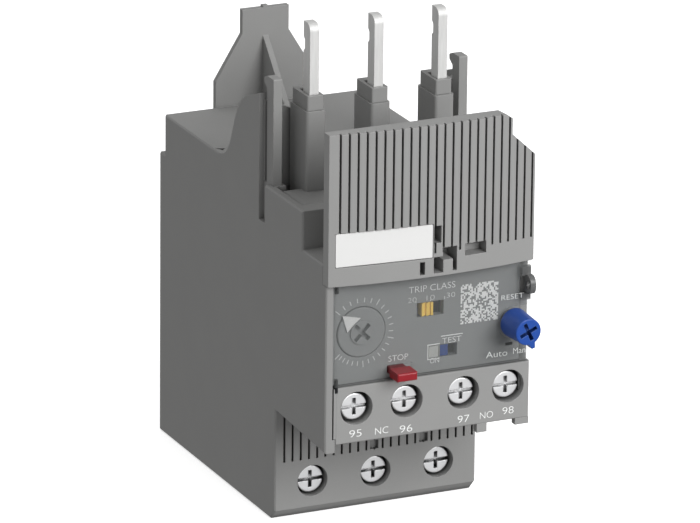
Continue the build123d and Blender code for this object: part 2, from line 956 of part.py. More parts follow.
def transparent_cover():
    z0 = panel_bottom + free_gap
    z1 = band_bottom - free_gap
    y0 = window_front
    y1 = window_front + window_thickness
    plate = block(hinge_x, half - fit_gap, y0, y1, z0, z1)
    front_edges = plate.faces().sort_by(Axis.Y)[0].edges()
    free_edges = front_edges.filter_by(lambda edge: edge.center().X > hinge_x + overcut)
    plate = chamfer(free_edges, edge_soft)
    barrel = post_z(hinge_x, hinge_y, hinge_radius, z0, z1)
    eye = centred_block(seal_x, seal_z, seal_width, seal_height, y0 - seal_reach, y1)
    nose = eye.edges().filter_by(Axis.X).group_by(Axis.Y)[0]
    eye = fillet(nose, seal_nose)
    body = join(plate, barrel, eye)
    cuts = [post_x(y0 - seal_hole_reach, seal_z, seal_hole_radius,
                   seal_x - seal_width, seal_x + seal_width)]
    eye_left = seal_x - seal_width / 2
    cuts.append(block(eye_left - seal_slot_width, eye_left, y0 - overcut, y1 + overcut,
                      seal_z - seal_height / 2, seal_z + seal_height / 2 - free_gap))
    cuts.append(block(stop_x - stop_width / 2 - 2 * free_gap,
                      stop_x + stop_width / 2 + 2 * free_gap + edge_soft, y0 - overcut,
                      y1 + overcut, z0 - overcut, stop_z + stop_height / 2 + 2 * free_gap - fit_gap))
    hole = reset_base_radius + reset_window_play
    cuts.append(post_y(reset_x, reset_z, hole, y0 - overcut, y1 + overcut))
    cuts.append(block(reset_x, half + overcut, y0 - overcut, y1 + overcut,
                      reset_z - hole, reset_z + hole))
    bore = hinge_pin_radius + running_gap
    cuts.append(post_z(hinge_x, hinge_y, bore, z0 - overcut, z0 + hinge_pin_depth))
    cuts.append(post_z(hinge_x, hinge_y, bore, z1 - hinge_pin_depth, z1 + overcut))
    save("transparent_cover", body - cuts)


def cover_hinge_pins():
    reach = free_gap + hinge_pin_depth - hinge_pin_end_play
    lower = post_z(hinge_x, hinge_y, hinge_pin_radius, panel_bottom - hinge_pin_grip,
                   panel_bottom + reach)
    upper = post_z(hinge_x, hinge_y, hinge_pin_radius, band_bottom - reach,
                   band_bottom + hinge_pin_grip)
    save("cover_hinge_pins", [lower, upper])


def setting_panel():
    x1 = inner_half - panel_play
    back = panel_back + overcut
    front = panel_front - overcut
    plate = block(-x1, x1, panel_front, panel_back,
                  panel_bottom + fit_gap, band_bottom - fit_gap)
    light_width = light_size + 2 * fit_gap
    stem_width = stop_width - 2 * stop_stem_width_inset + 2 * fit_gap
    stem_height = stop_height - 2 * stop_stem_height_inset + 2 * fit_gap
    cuts = [
        post_y(dial_x, dial_z, dial_radius + dial_play, front, back),
        centred_block(class_x, class_z, class_window_width, class_window_height, front, back),
        centred_block(test_x, test_z, test_window_width, test_window_height, front, back),
        centred_block(light_x, test_z, light_width, test_window_height, front, back),
        centred_block(stop_x, stop_z, stem_width, stem_height, front, back),
        post_y(reset_x, reset_z, reset_stem_radius + running_gap, front, back),
    ]
    save("setting_panel", plate - cuts)


# Control terminal block: the lower strip of the front with four screw wells

def stop_spring_seat():
    back = stop_spring_end + stop_travel
    left = stop_x - stop_seat_left
    plate = block(left, stop_x + stop_seat_right, back, back + stop_seat_thickness,
                  panel_bottom + fit_gap, stop_z + stop_seat_top)
    leg = block(left, left + stop_seat_leg, control_tray_back - overcut,
                back + stop_seat_thickness, chamber_floor + overcut, stop_z + stop_seat_top)
    return [plate, leg]


def control_terminal_block():
    face_back = panel_front - fit_gap
    face = block(-half + control_face_left, half, side_front, face_back,
                 control_tray_floor, panel_bottom)
    face = front_chamfer(face, edge_soft)
    right = inner_half - fit_gap
    head_block = block(control_tray_left, right, face_back - bite, control_lip_back,
                       chamber_floor + fit_gap, panel_bottom - edge_soft)
    floor = block(control_tray_left, control_tray_right, side_front + tray_front_inset,
                  control_tray_back, control_tray_floor, chamber_floor + tray_cap)
    side_strip = block(-inner_half + free_gap, -half + control_face_left + bite, side_front,
                       face_back, chamber_floor + fit_gap, panel_bottom - edge_soft)
    pieces = [head_block, floor, side_strip, *stop_spring_seat()]
    lane = control_cage_width / 2 + free_gap
    lefts = [control_tray_left] + [x + lane for x in control_xs[:-1]]
    rights = [x - lane for x in control_xs]
    for x0, x1 in zip(lefts, rights):
        pieces.append(block(x0, x1, control_lip_back, control_tray_back,
                            chamber_floor + fit_gap,
                            control_z + control_cage_height / 2 - free_gap))
    pieces.append(block(tab_left_x, tab_left_x + tab_left_width, side_front, face_back,
                        control_tray_floor - tab_left_drop, control_tray_floor + bite))
    pieces.append(block(half - tab_right_width, half, side_front, face_back,
                        control_tray_floor - tab_right_drop, control_tray_floor + bite))
    cuts = []
    way_half = control_cage_width / 2 - control_cage_wall
    for x in control_xs:
        cuts.append(post_y(x, control_z, control_well_radius, side_front - overcut,
                           control_head_back + fit_gap))
        cuts.append(post_y(x, control_z, control_shank_radius + fit_gap, side_front,
                           control_lip_back + overcut))
        cuts.append(block(x - way_half, x + way_half, control_plate_back + running_gap,
                          control_cage_inner_back, front_floor - overcut,
                          chamber_floor + 2 * overcut))
    cuts.append(post_z(hinge_x, hinge_y, hinge_pin_radius, panel_bottom - hinge_pin_grip,
                       panel_bottom + overcut))
    save("control_terminal_block", join(face, *pieces) - cuts)


# Screws and box clamps

def combination_screw(x, z, front, head_radius, head_height, shank_radius, tip):
    head = post_y(x, z, head_radius, front, front + head_height)
    head = fillet(head.edges().sort_by(Axis.Y)[0], screw_edge)
    shank = post_y(x, z, shank_radius, front + head_height, tip)
    shank = chamfer(shank.edges().sort_by(Axis.Y)[-1], screw_tip)
    depth = head_height * screw_slot_share
    slot = centred_block(x, z, 2 * head_radius * screw_slot_reach, screw_slot,
                         front - overcut, front + depth)
    cross = centred_block(x, z, screw_slot, 2 * head_radius * screw_cross_reach,
                          front - overcut, front + depth)
    return join(head, shank) - [slot, cross]


def box_clamp(x, z, width, height, side_wall, end_wall, front, back, thread_radius):
    outer = centred_block(x, z, width, height, front, back)
    inner = centred_block(x, z, width - 2 * side_wall, height + overcut,
                          front + end_wall, back - end_wall)
    thread = post_y(x, z, thread_radius, front - overcut, front + end_wall + overcut)
    return outer - inner - thread


def main_terminals():
    for index, x in enumerate(main_xs, start=1):
        screw = combination_screw(x, main_z, lower_front + main_head_recess, main_head_radius,
                                  main_head_height, main_shank_radius,
                                  main_plate_front - fit_gap)
        save(f"main_terminal_screw_{index}", screw)
        clamp = box_clamp(x, main_z, main_cage_width, main_cage_height, main_cage_wall,
                          main_cage_end_wall, main_cage_front, main_cage_back,
                          main_shank_radius + running_gap)
        save(f"main_terminal_clamp_{index}", clamp)


def control_terminals():
    for number, x in zip((95, 96, 97, 98), control_xs):
        screw = combination_screw(x, control_z, side_front + control_head_recess,
                                  control_head_radius, control_head_height,
                                  control_shank_radius, control_plate_front - fit_gap)
        save(f"control_terminal_screw_{number}", screw)
        clamp = box_clamp(x, control_z, control_cage_width, control_cage_height,
                          control_cage_wall, control_end_wall, control_cage_front,
                          control_cage_back, control_shank_radius + running_gap)
        save(f"control_terminal_clamp_{number}", clamp)


# Plug bars, their towers and collars

def terminal_tower(x):
    foot = block(x - foot_width / 2, x + foot_width / 2, foot_front, foot_back,
                 shelf_top, box_top - foot_drop)
    foot = fillet(foot.faces().sort_by(Axis.Z)[-1].edges(), foot_round)
    tower = block(x - tower_width / 2, x + tower_width / 2, tower_front,
                  tower_front + tower_depth, shelf_top, tower_top)
    tower = rounded(tower, Axis.Z, tower_corner)
    spigot_half = collar_width / 2 - spigot_wall + running_gap
    spigot_hole = block(x - spigot_half, x + spigot_half,
                        bar_front - spigot_front - running_gap,
                        bar_front + bar_depth + spigot_back + fit_gap,
                        tower_top - spigot_length - fit_gap, tower_top + overcut)
    way = bar_slot(x, shelf_top - overcut, tower_top + overcut, running_gap)
    return join(foot, tower) - [way, spigot_hole]


def bar_collar(x):
    top = tower_top + collar_height
    cap = block(x - collar_width / 2, x + collar_width / 2, tower_front + collar_front_inset,
                tower_front + tower_depth - collar_back_inset, tower_top, top)
    cap = rounded(cap, Axis.Z, collar_corner)
    spigot_half = collar_width / 2 - spigot_wall
    spigot = block(x - spigot_half, x + spigot_half, bar_front - spigot_front,
                   bar_front + bar_depth + spigot_back,
                   tower_top - spigot_length, tower_top + bite)
    relief_half = bar_thickness / 2 + running_gap
    bar_back = bar_front + bar_depth
    relief = block(x - relief_half, x + relief_half, bar_back, bar_back + collar_relief,
                   tower_top + collar_relief_foot, top + overcut)
    way = bar_slot(x, tower_top - spigot_length - overcut, top + overcut, running_gap)
    return join(cap, spigot) - [way, relief]


def plug_bar(x):
    front = bar_front
    back = bar_front + bar_depth
    upper_turn = shelf_bottom - bar_run_gap
    inner_front = core_front + core_leg + bar_drop
    inner_back = inner_front + bar_depth
    lower_turn = main_cage_top + bar_foot_rise
    notch_back = back - bar_notch_depth
    notch_top = bar_top - bar_notch_drop
    notch_bottom = notch_top - bar_notch_height
    outline = [
        (front, upper_turn - bar_depth),
        (front, bar_top),
        (back, bar_top),
        (back, notch_top),
        (notch_back, notch_top - bar_notch_depth),
        (notch_back, notch_bottom + bar_notch_depth),
        (back, notch_bottom),
        (back, upper_turn),
        (inner_back, upper_turn),
        (inner_back, lower_turn),
        (main_plate_front, lower_turn),
        (main_plate_front, lower_turn + bar_depth),
        (inner_front, lower_turn + bar_depth),
        (inner_front, upper_turn - bar_depth),
    ]
    bar = prism_x(outline, x - bar_thickness / 2, x + bar_thickness / 2)
    nose = bar.edges().filter_by(Axis.X).group_by(Axis.Z)[-1].sort_by(Axis.Y)[0]
    bar = fillet(nose, bar_nose_radius)
    plate_half = main_cage_width / 2 - main_cage_wall - plate_play
    plate = block(x - plate_half, x + plate_half, main_plate_front, main_plate_back,
                  main_cage_bottom, lower_turn + bar_depth)
    return join(bar, plate)


def power_path():
    for index, x in enumerate(main_xs, start=1):
        save(f"terminal_tower_{index}", terminal_tower(x))
        save(f"bar_collar_{index}", bar_collar(x))
        save(f"plug_bar_{index}", plug_bar(x))


# Current transformers round each bar

def transformers():
    core_width = main_pitch - core_spacing
    window_width = core_width - 2 * core_side
    coil_width = window_width - 2 * coil_play
    core_back = core_front + core_depth
    leg_front = core_back - core_rear_leg
    core_top = core_bottom + core_height
    for index, x in enumerate(main_xs, start=1):
        core = block(x - core_width / 2, x + core_width / 2, core_front, core_back,
                     core_bottom, core_top)
        window = block(x - window_width / 2, x + window_width / 2, core_front + core_leg,
                       leg_front, core_bottom - overcut, core_top + overcut)
        save(f"transformer_core_{index}", core - window)
        coil = block(x - coil_width / 2, x + coil_width / 2,
                     leg_front - coil_build, core_back + coil_build,
                     core_bottom - coil_build, core_top + coil_build)
        leg = block(x - core_width / 2, x + core_width / 2, leg_front - fit_gap,
                    core_back + fit_gap, core_bottom - fit_gap, core_top + fit_gap)
        save(f"transformer_coil_{index}", rounded(coil, Axis.X, coil_corner) - leg)


# Circuit board and what stands on it

def circuit_board():
    x1 = inner_half - panel_play
    save("circuit_board", block(-x1, x1, board_front, board_back, board_bottom, board_top))


def board_components():
    chip_x = inner_half - chip_inset
    chip_z = board_bottom + chip_rise
    choke_z = board_bottom + choke_rise
    driver_x = class_x + class_body_width / 2 + driver_gap
    driver_z = board_bottom + driver_rise
    diode_x = -inner_half + diode_inset
    lamp_x = light_x - lamp_width / 2
    lamp_front = panel_back + light_length + lamp_gap
    lamp_z = test_z - test_stem_drop
    parts = [
        post_y(dial_x, board_bottom + filter_rise, filter_radius, board_back,
               board_back + filter_length),
        post_y(dial_x, board_bottom + small_filter_rise, small_filter_radius, board_back,
               board_back + small_filter_length),
        block(chip_x - chip_size / 2, chip_x + chip_size / 2, board_back,
              board_back + chip_height, chip_z, chip_z + chip_size),
        block(driver_x, driver_x + driver_width, board_front - driver_height, board_front,
              driver_z, driver_z + driver_width),
        block(lamp_x, lamp_x + lamp_width, lamp_front, board_front, lamp_z, lamp_z + lamp_size),
    ]
    for side in (-1, 1):
        x = chip_x + side * choke_spacing / 2
        parts.append(block(x - choke_size / 2, x + choke_size / 2, board_back,
                           board_back + choke_height, choke_z, choke_z + choke_depth))
    for index in range(2):
        z = board_bottom + diode_rise + index * diode_pitch
        parts.append(block(diode_x, diode_x + diode_width, board_front - diode_height,
                           board_front, z, z + diode_size))
    save("board_components", parts)


def test_switch():
    front = panel_back + test_body_front
    body = block(test_x - test_body_left, test_x + test_body_right, front, board_front,
                 test_z - test_body_drop, test_z + test_body_rise)
    slot_z = test_z - test_stem_drop - fit_gap
    slot = block(test_x - test_window_width / 2 + free_gap,
                 test_x + test_window_width / 2 - fit_gap, front - overcut,
                 front + test_slot_depth, slot_z, slot_z + test_stem_height + 2 * fit_gap)
    save("test_switch_body", body - slot)


def setting_potentiometer():
    front = panel_back + pot_front
    body = centred_block(dial_x, dial_z, 2 * pot_half, 2 * pot_half, front, board_front)
    bore = post_y(dial_x, dial_z, dial_shaft_radius + running_gap, front - overcut,
                  front + pot_bore_depth)
    save("setting_potentiometer", rounded(body, Axis.Y, pot_corner) - bore)


def class_switch_body():
    front = panel_back + pot_front
    body = centred_block(class_x, class_z, class_body_width, class_body_height, front,
                         board_front)
    slot = centred_block(class_x, class_z, class_window_width - 2 * class_slot_margin,
                         class_stem_height + 2 * fit_gap, front - overcut,
                         front + pot_bore_depth)
    save("class_switch_body", body - slot)


# Dial, slides and buttons of the panel

def setting_dial():
    disc = post_y(dial_x, dial_z, dial_radius, dial_front, panel_back - edge_soft)
    disc = chamfer(disc.edges().sort_by(Axis.Y)[0], edge_soft)
    boss = post_y(dial_x, dial_z, dial_boss_radius, dial_front - dial_boss_height,
                  dial_front + dial_boss_height)
    shaft = post_y(dial_x, dial_z, dial_shaft_radius, panel_back - free_gap,
                   panel_back + dial_shaft_length)
    flange_front = panel_back + free_gap
    flange = post_y(dial_x, dial_z, dial_radius + dial_flange_reach, flange_front,
                    flange_front + dial_flange)
    neck = post_y(dial_x, dial_z, dial_radius - dial_neck_inset, panel_back - free_gap,
                  flange_front + bite)
    recess = cross_recess(dial_x, dial_z, dial_recess_reach, dial_recess_width, 0,
                          dial_front + dial_recess_depth, dial_recess_turn)
    save("setting_dial", join(disc, boss, shaft, flange, neck) - recess)


def dial_pointer():
    outline = [(-4.3, 4.0), (-0.3, 3.1), (-2.2, 1.5), (-3.2, 0.4)]
    corners = [(dial_x + x, dial_z + z) for x, z in outline]
    plate = prism_y(corners, dial_front - pointer_thickness, dial_front)
    boss = post_y(dial_x, dial_z, dial_boss_radius + fit_gap, 0, dial_front + overcut)
    save("dial_pointer", plate - boss)


def class_slider():
    left = class_x - class_window_width / 2 + class_tab_inset
    x = left + class_tab_width / 2
    height = class_window_height - 2 * tab_play
    face = dial_front + tab_recess
    tab = centred_block(x, class_z, class_tab_width, height, face, panel_back + fit_gap)
    rib = class_tab_width / 5
    ribs = [centred_block(left + rib * (2 * index + 0.5), class_z, rib, height,
                          face - rib_height, face + bite) for index in range(3)]
    stem = centred_block(x, class_z, class_stem_width, class_stem_height, panel_back,
                         panel_back + class_stem_length)
    save("class_slider", join(tab, stem, *ribs))


def test_slide():
    left = test_x - test_window_width / 2 + test_tab_inset
    x = left + test_tab_width / 2
    tab = centred_block(x, test_z, test_tab_width, test_window_height - 2 * tab_play,
                        dial_front + tab_recess, panel_back + fit_gap)
    stem_z = test_z - test_stem_drop
    stem = block(x - test_stem_width / 2, x + test_stem_width / 2, panel_back,
                 panel_back + test_stem_length, stem_z, stem_z + test_stem_height)
    save("test_slide", join(tab, stem))


def status_light_pipe():
    pipe = centred_block(light_x, test_z, light_size, test_window_height - 2 * fit_gap,
                         panel_front, panel_back + light_length)
    save("status_light_pipe", pipe)


def stop_button():
    front = panel_front - stop_reach
    head = centred_block(stop_x, stop_z, stop_width, stop_height, front,
                         panel_front - stop_travel - fit_gap)
    head = fillet(head.faces().sort_by(Axis.Y)[0].edges(), stop_edge)
    stem = centred_block(stop_x, stop_z, stop_width - 2 * stop_stem_width_inset,
                         stop_height - 2 * stop_stem_height_inset, front + overcut,
                         stop_stem_end)
    save("stop_button", join(head, stem))


def coil_spring(x, z, radius, wire, y0, y1, turns):
    height = y1 - y0 - 2 * wire
    path = Helix(pitch=height / turns, height=height, radius=radius)
    section = Plane(origin=path @ 0, z_dir=path % 0) * Circle(wire / 2)
    body = sweep(section, path=path)
    return body.rotate(Axis.X, -90).moved(Location((x, y0 + wire, z)))


def stop_spring():
    spring = coil_spring(stop_x, stop_z, stop_spring_radius, stop_spring_wire,
                         stop_stem_end, stop_spring_end, stop_spring_turns)
    save("stop_spring", spring)


def reset_plunger():
    stem = post_y(reset_x, reset_z, reset_stem_radius, reset_front + reset_stem_setback,
                  reset_seat_front + reset_rod_tail)
    flange_front = panel_back + free_gap
    flange = post_y(reset_x, reset_z, reset_stem_radius + reset_flange_reach, flange_front,
                    flange_front + reset_flange)
    save("reset_plunger", join(stem, flange))


def reset_knob():
    back = panel_front - reset_travel - free_gap
    body = cone_y(reset_x, reset_z, reset_front_radius, reset_base_radius, reset_front, back)
    body = fillet(body.edges().sort_by(Axis.Y)[0], reset_knob_edge)
    bore = post_y(reset_x, reset_z, reset_stem_radius + running_gap,
                  reset_front + reset_stem_setback - fit_gap, back + overcut)
    nub_outline = [
        (-reset_nub_half, -reset_nub_foot),
        (reset_nub_half, -reset_nub_foot),
        (reset_nub_tip_half, -reset_nub_tip),
        (-reset_nub_tip_half, -reset_nub_tip),
    ]
    nub = prism_y(nub_outline, reset_front, reset_front + reset_nub_length)
    nub = nub.rotate(Axis.Y, reset_nub_turn).moved(Location((reset_x, 0, reset_z)))
    recess = cross_recess(reset_x, reset_z, reset_recess_reach, reset_recess_width,
                          reset_front - overcut, reset_front + reset_recess_depth,
                          reset_recess_turn)
    save("reset_knob", join(body, nub) - [bore, *recess])


def reset_spring():
    y0 = panel_back + free_gap + reset_flange
    y1 = reset_seat_front - reset_travel - free_gap
    spring = coil_spring(reset_x, reset_z, reset_stem_radius + reset_spring_reach,
                         reset_spring_wire, y0, y1, reset_spring_turns)
    save("reset_spring", spring)


# Trip magnet, plunger and the contacts

def trip_magnet():
    half_width = magnet_width / 2
    back = magnet_y + magnet_coil_radius + free_gap + yoke_thickness
    lower_top = magnet_bottom + yoke_thickness
    upper_bottom = magnet_top - yoke_thickness
    lower = block(-half_width, half_width, board_back, back, magnet_bottom, lower_top)
    upper = block(-half_width, half_width, board_back, back, upper_bottom, magnet_top)
    rear = block(-half_width, half_width, back - yoke_thickness, back,
                 magnet_bottom, magnet_top)
    bore = post_z(0, magnet_y, plunger_radius + running_gap, magnet_bottom - overcut,
                  lower_top + overcut)
    save("trip_magnet", join(lower, upper, rear) - bore)
    coil = post_z(0, magnet_y, magnet_coil_radius, lower_top, upper_bottom)
    core_way = post_z(0, magnet_y, plunger_radius + coil_clearance, lower_top - overcut,
                      magnet_top)
    save("trip_coil", coil - core_way)


def trip_plunger():
    foot = carrier_top + running_gap
    rod = post_z(0, magnet_y, plunger_radius, foot, magnet_top - yoke_thickness - plunger_gap)
    flange = post_z(0, magnet_y, plunger_flange_radius, foot, carrier_top + plunger_flange)
    save("trip_plunger", join(rod, flange))


def contact_carrier():
    y0 = carrier_y - carrier_half
    y1 = carrier_y + carrier_half
    nc_centre = sum(nc_xs) / 2
    no_centre = sum(no_xs) / 2
    bar = block(nc_centre - carrier_end, no_centre + carrier_end, y0, y1,
                carrier_bottom, carrier_top)
    pad = block(-carrier_pad_half, carrier_pad_half, y0, magnet_y + plunger_flange_radius,
                carrier_bottom, carrier_top)
    bridge_posts = []
    for x, foot in ((nc_centre, nc_bridge_top), (no_centre, no_bridge_bottom + bridge_thickness)):
        bridge_posts.append(block(x - carrier_post_half, x + carrier_post_half,
                                  y0 + carrier_post_inset, y1 - carrier_post_inset,
                                  foot, carrier_top))
    bore = post_z(0, guide_y, guide_radius + running_gap, carrier_bottom - overcut,
                  carrier_top + overcut)
    save("contact_carrier", join(bar, pad, *bridge_posts) - bore)


def contact_bridge(name, xs, bottom, button_bottom):
    strip = block(xs[0] - bridge_reach, xs[1] + bridge_reach, carrier_y - bridge_half,
                  carrier_y + bridge_half, bottom, bottom + bridge_thickness)
    buttons = [post_z(x, carrier_y, contact_radius, button_bottom,
                      button_bottom + contact_button + bite) for x in xs]
    save(name, join(strip, *buttons))


def contact_bridges():
    contact_bridge("nc_bridge", nc_xs, nc_bridge_top - bridge_thickness, nc_bridge_top - bite)
    contact_bridge("no_bridge", no_xs, no_bridge_bottom, no_bridge_bottom - contact_button)


def fixed_contacts():
    plate_half = control_cage_width / 2 - control_cage_wall - strip_play
    tip = carrier_y + tongue_tip
    z_top = control_tongue_z + control_strip
    drop_front = control_cage_back + tongue_drop_gap
    drop_back = drop_front + control_strip
    shelf_foot = no_fixed_top - control_strip
    strips = []
    for x in control_xs:
        strips.append([
            block(x - plate_half, x + plate_half, control_plate_front, control_plate_back,
                  chamber_floor + tray_cap, z_top),
            block(x - tongue_half, x + tongue_half, control_plate_front,
                  tip if x in nc_xs else drop_back, control_tongue_z, z_top),
        ])
    for x, strip in zip(no_xs, strips[2:]):
        strip.append(block(x - tongue_half, x + tongue_half, drop_front, drop_back,
                           shelf_foot, z_top))
        strip.append(block(x - tongue_half, x + tongue_half, drop_front, tip,
                           shelf_foot, no_fixed_top))
    joined = [join(*strip) for strip in strips]
    save("nc_contact_strips", joined[:2])
    save("no_contact_strips", joined[2:])


rear_housing()
back_cover()
front_cover()
marker_label()
transparent_cover()
cover_hinge_pins()
setting_panel()
control_terminal_block()
main_terminals()
control_terminals()
power_path()
transformers()
circuit_board()
board_components()
test_switch()
setting_potentiometer()
class_switch_body()
setting_dial()
dial_pointer()
class_slider()
test_slide()
status_light_pipe()
stop_button()
stop_spring()
reset_plunger()
reset_knob()
reset_spring()
trip_magnet()
trip_plunger()
contact_carrier()
contact_bridges()
fixed_contacts()
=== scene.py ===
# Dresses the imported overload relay: materials, panel graphics, light and camera.
# Units are metres in the part's own frame: x to the right, y to the back, z up.

import json
import math

import bpy
from mathutils import Matrix, Vector


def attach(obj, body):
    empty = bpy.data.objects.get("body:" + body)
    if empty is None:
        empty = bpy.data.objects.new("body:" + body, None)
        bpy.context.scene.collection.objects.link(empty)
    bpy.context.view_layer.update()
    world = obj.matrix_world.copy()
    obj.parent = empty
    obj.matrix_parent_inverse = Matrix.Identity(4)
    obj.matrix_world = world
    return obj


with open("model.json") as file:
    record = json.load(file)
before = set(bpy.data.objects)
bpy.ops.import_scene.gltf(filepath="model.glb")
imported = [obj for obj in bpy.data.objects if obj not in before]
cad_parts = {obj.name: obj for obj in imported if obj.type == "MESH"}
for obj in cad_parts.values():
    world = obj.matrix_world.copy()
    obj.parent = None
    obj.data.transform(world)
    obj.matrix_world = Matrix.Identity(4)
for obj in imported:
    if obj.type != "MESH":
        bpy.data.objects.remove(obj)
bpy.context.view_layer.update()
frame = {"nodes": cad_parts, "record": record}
mm = 0.001
bandSetback = 56.0 * mm  # the front band stands this far ahead of the frame's origin
nodes = frame["nodes"]
print("frame loaded,", len(nodes), "nodes")


def fromBand(x, y, z):
    # a place given in mm, with y measured back from the front band
    return Vector((x * mm, y * mm - bandSetback, z * mm))


# colours, nodes and the patterns that materials share

edgeFade = {"flat": 0.995, "fullEdge": 0.80}  # cosine between the face and its softened normal
recessFade = {"dark": 0.1, "open": 0.62}  # share of open sky where a recess is dark, and open
bandStep = 0.314  # a wave texture at scale 1 repeats after this many metres


def linearColour(hexCode, alpha=1.0):
    channels = [int(hexCode[i:i + 2], 16) / 255 for i in (1, 3, 5)]
    linear = [c / 12.92 if c <= 0.04045 else ((c + 0.055) / 1.055) ** 2.4 for c in channels]
    return (*linear, alpha)


def addNode(tree, kind, settings=None, links=None):
    node = tree.nodes.new(kind)
    for name, value in (settings or {}).items():
        if isinstance(name, str) and hasattr(node, name):
            setattr(node, name, value)
        else:
            node.inputs[name].default_value = value
    for name, source in (links or {}).items():
        tree.links.new(source, node.inputs[name])
    return node


def newMaterial(name, shaderSettings):
    material = bpy.data.materials.new(name)
    material.use_nodes = True
    tree = material.node_tree
    tree.nodes.clear()
    shader = addNode(tree, "ShaderNodeBsdfPrincipled", shaderSettings)
    addNode(tree, "ShaderNodeOutputMaterial", links={"Surface": shader.outputs[0]})
    return material, tree, shader


def objectNoise(tree, sizeMm, detail=2.0, stretch=(1, 1, 1)):
    # noise whose blotches are about sizeMm across, on the piece's own coordinates
    place = addNode(tree, "ShaderNodeTexCoord")
    turned = addNode(tree, "ShaderNodeMapping", {"Scale": stretch},
                     {"Vector": place.outputs["Object"]})
    return addNode(tree, "ShaderNodeTexNoise",
                   {"Scale": 1 / (sizeMm * mm), "Detail": detail, "Roughness": 0.55},
                   {"Vector": turned.outputs[0]})


def softEdges(tree, radiusMm):
    # the moulding tool's small radius on every edge, as a shading normal
    return addNode(tree, "ShaderNodeBevel", {"samples": 6, "Radius": radiusMm * mm})


def highlightAndRimEdges(tree, bevel):
    # 0 on flat faces, 1 on the edges: the moulded plastics use it for a painted highlight along
    #                                  edges, the clear sheet for its denser rims
    surface = addNode(tree, "ShaderNodeNewGeometry")
    dot = addNode(tree, "ShaderNodeVectorMath", {"operation": "DOT_PRODUCT"},
                  {0: bevel.outputs[0], 1: surface.outputs["Normal"]})
    return addNode(tree, "ShaderNodeMapRange",
                   {"From Min": edgeFade["flat"], "From Max": edgeFade["fullEdge"]},
                   {"Value": dot.outputs["Value"]})


def shadedRecess(tree, reachMm):
    # 1 on open faces and towards 0 in grooves and wells, where little light gets in
    return addNode(tree, "ShaderNodeAmbientOcclusion", {"samples": 6, "Distance": reachMm * mm})


def paintedShade(tree, colour, recess, floorTone):
    # painted shade: a colour multiplied by the recess value, never below floorTone
    tone = addNode(tree, "ShaderNodeMapRange",
                   {"From Min": recessFade["dark"], "From Max": recessFade["open"],
                    "To Min": floorTone},
                   {"Value": recess.outputs["AO"]})
    grey = addNode(tree, "ShaderNodeCombineColor",
                   links={0: tone.outputs[0], 1: tone.outputs[0], 2: tone.outputs[0]})
    return addNode(tree, "ShaderNodeMix",
                   {"data_type": "RGBA", "blend_type": "MULTIPLY", 0: 1.0},
                   {6: colour, 7: grey.outputs[0]})


def mouldedPlastic(name, look):
    # injection moulded thermoplastic: spark-eroded grain, faint flow mottling, edges a little
    # paler as a painted highlight, and painted shade darkening grooves and wells
    material, tree, shader = newMaterial(name, {"IOR": 1.5})
    mottle = objectNoise(tree, look["mottleMm"], 3.0)
    tone = addNode(tree, "ShaderNodeMix",
                   {"data_type": "RGBA", 6: linearColour(look["colour"]),
                    7: linearColour(look["shade"])}, {0: mottle.outputs[0]})
    bevel = softEdges(tree, look["edgeMm"])
    fullEdge = highlightAndRimEdges(tree, bevel)
    # painted highlight: the edges are mixed towards a paler colour, as where light catches them
    highlightAmount = addNode(tree, "ShaderNodeMath", {"operation": "MULTIPLY", 1: look["highlightShare"]},
                     {0: fullEdge.outputs[0]})
    highlighted = addNode(tree, "ShaderNodeMix",
                    {"data_type": "RGBA", 7: linearColour(look["highlightColour"])},
                    {0: highlightAmount.outputs[0], 6: tone.outputs[2]})
    grain = objectNoise(tree, look["grainMm"], 1.0)
    gloss = addNode(tree, "ShaderNodeMapRange",
                    {"To Min": look["roughness"] - 0.05, "To Max": look["roughness"] + 0.06},
                    {"Value": grain.outputs[0]})
    bump = addNode(tree, "ShaderNodeBump",
                   {"Strength": look["grainStrength"], "Distance": look["grainDepthMm"] * mm},
                   {"Height": grain.outputs[0], "Normal": bevel.outputs[0]})
    # painted shade in grooves and wells, darker where less light reaches
    recess = shadedRecess(tree, look.get("recessMm", 2.0))
    shaded = paintedShade(tree, highlighted.outputs[2], recess, look.get("recessTone", 0.3))
    tree.links.new(shaded.outputs[2], shader.inputs["Base Color"])
    tree.links.new(gloss.outputs[0], shader.inputs["Roughness"])
    tree.links.new(bump.outputs[0], shader.inputs["Normal"])
    return material
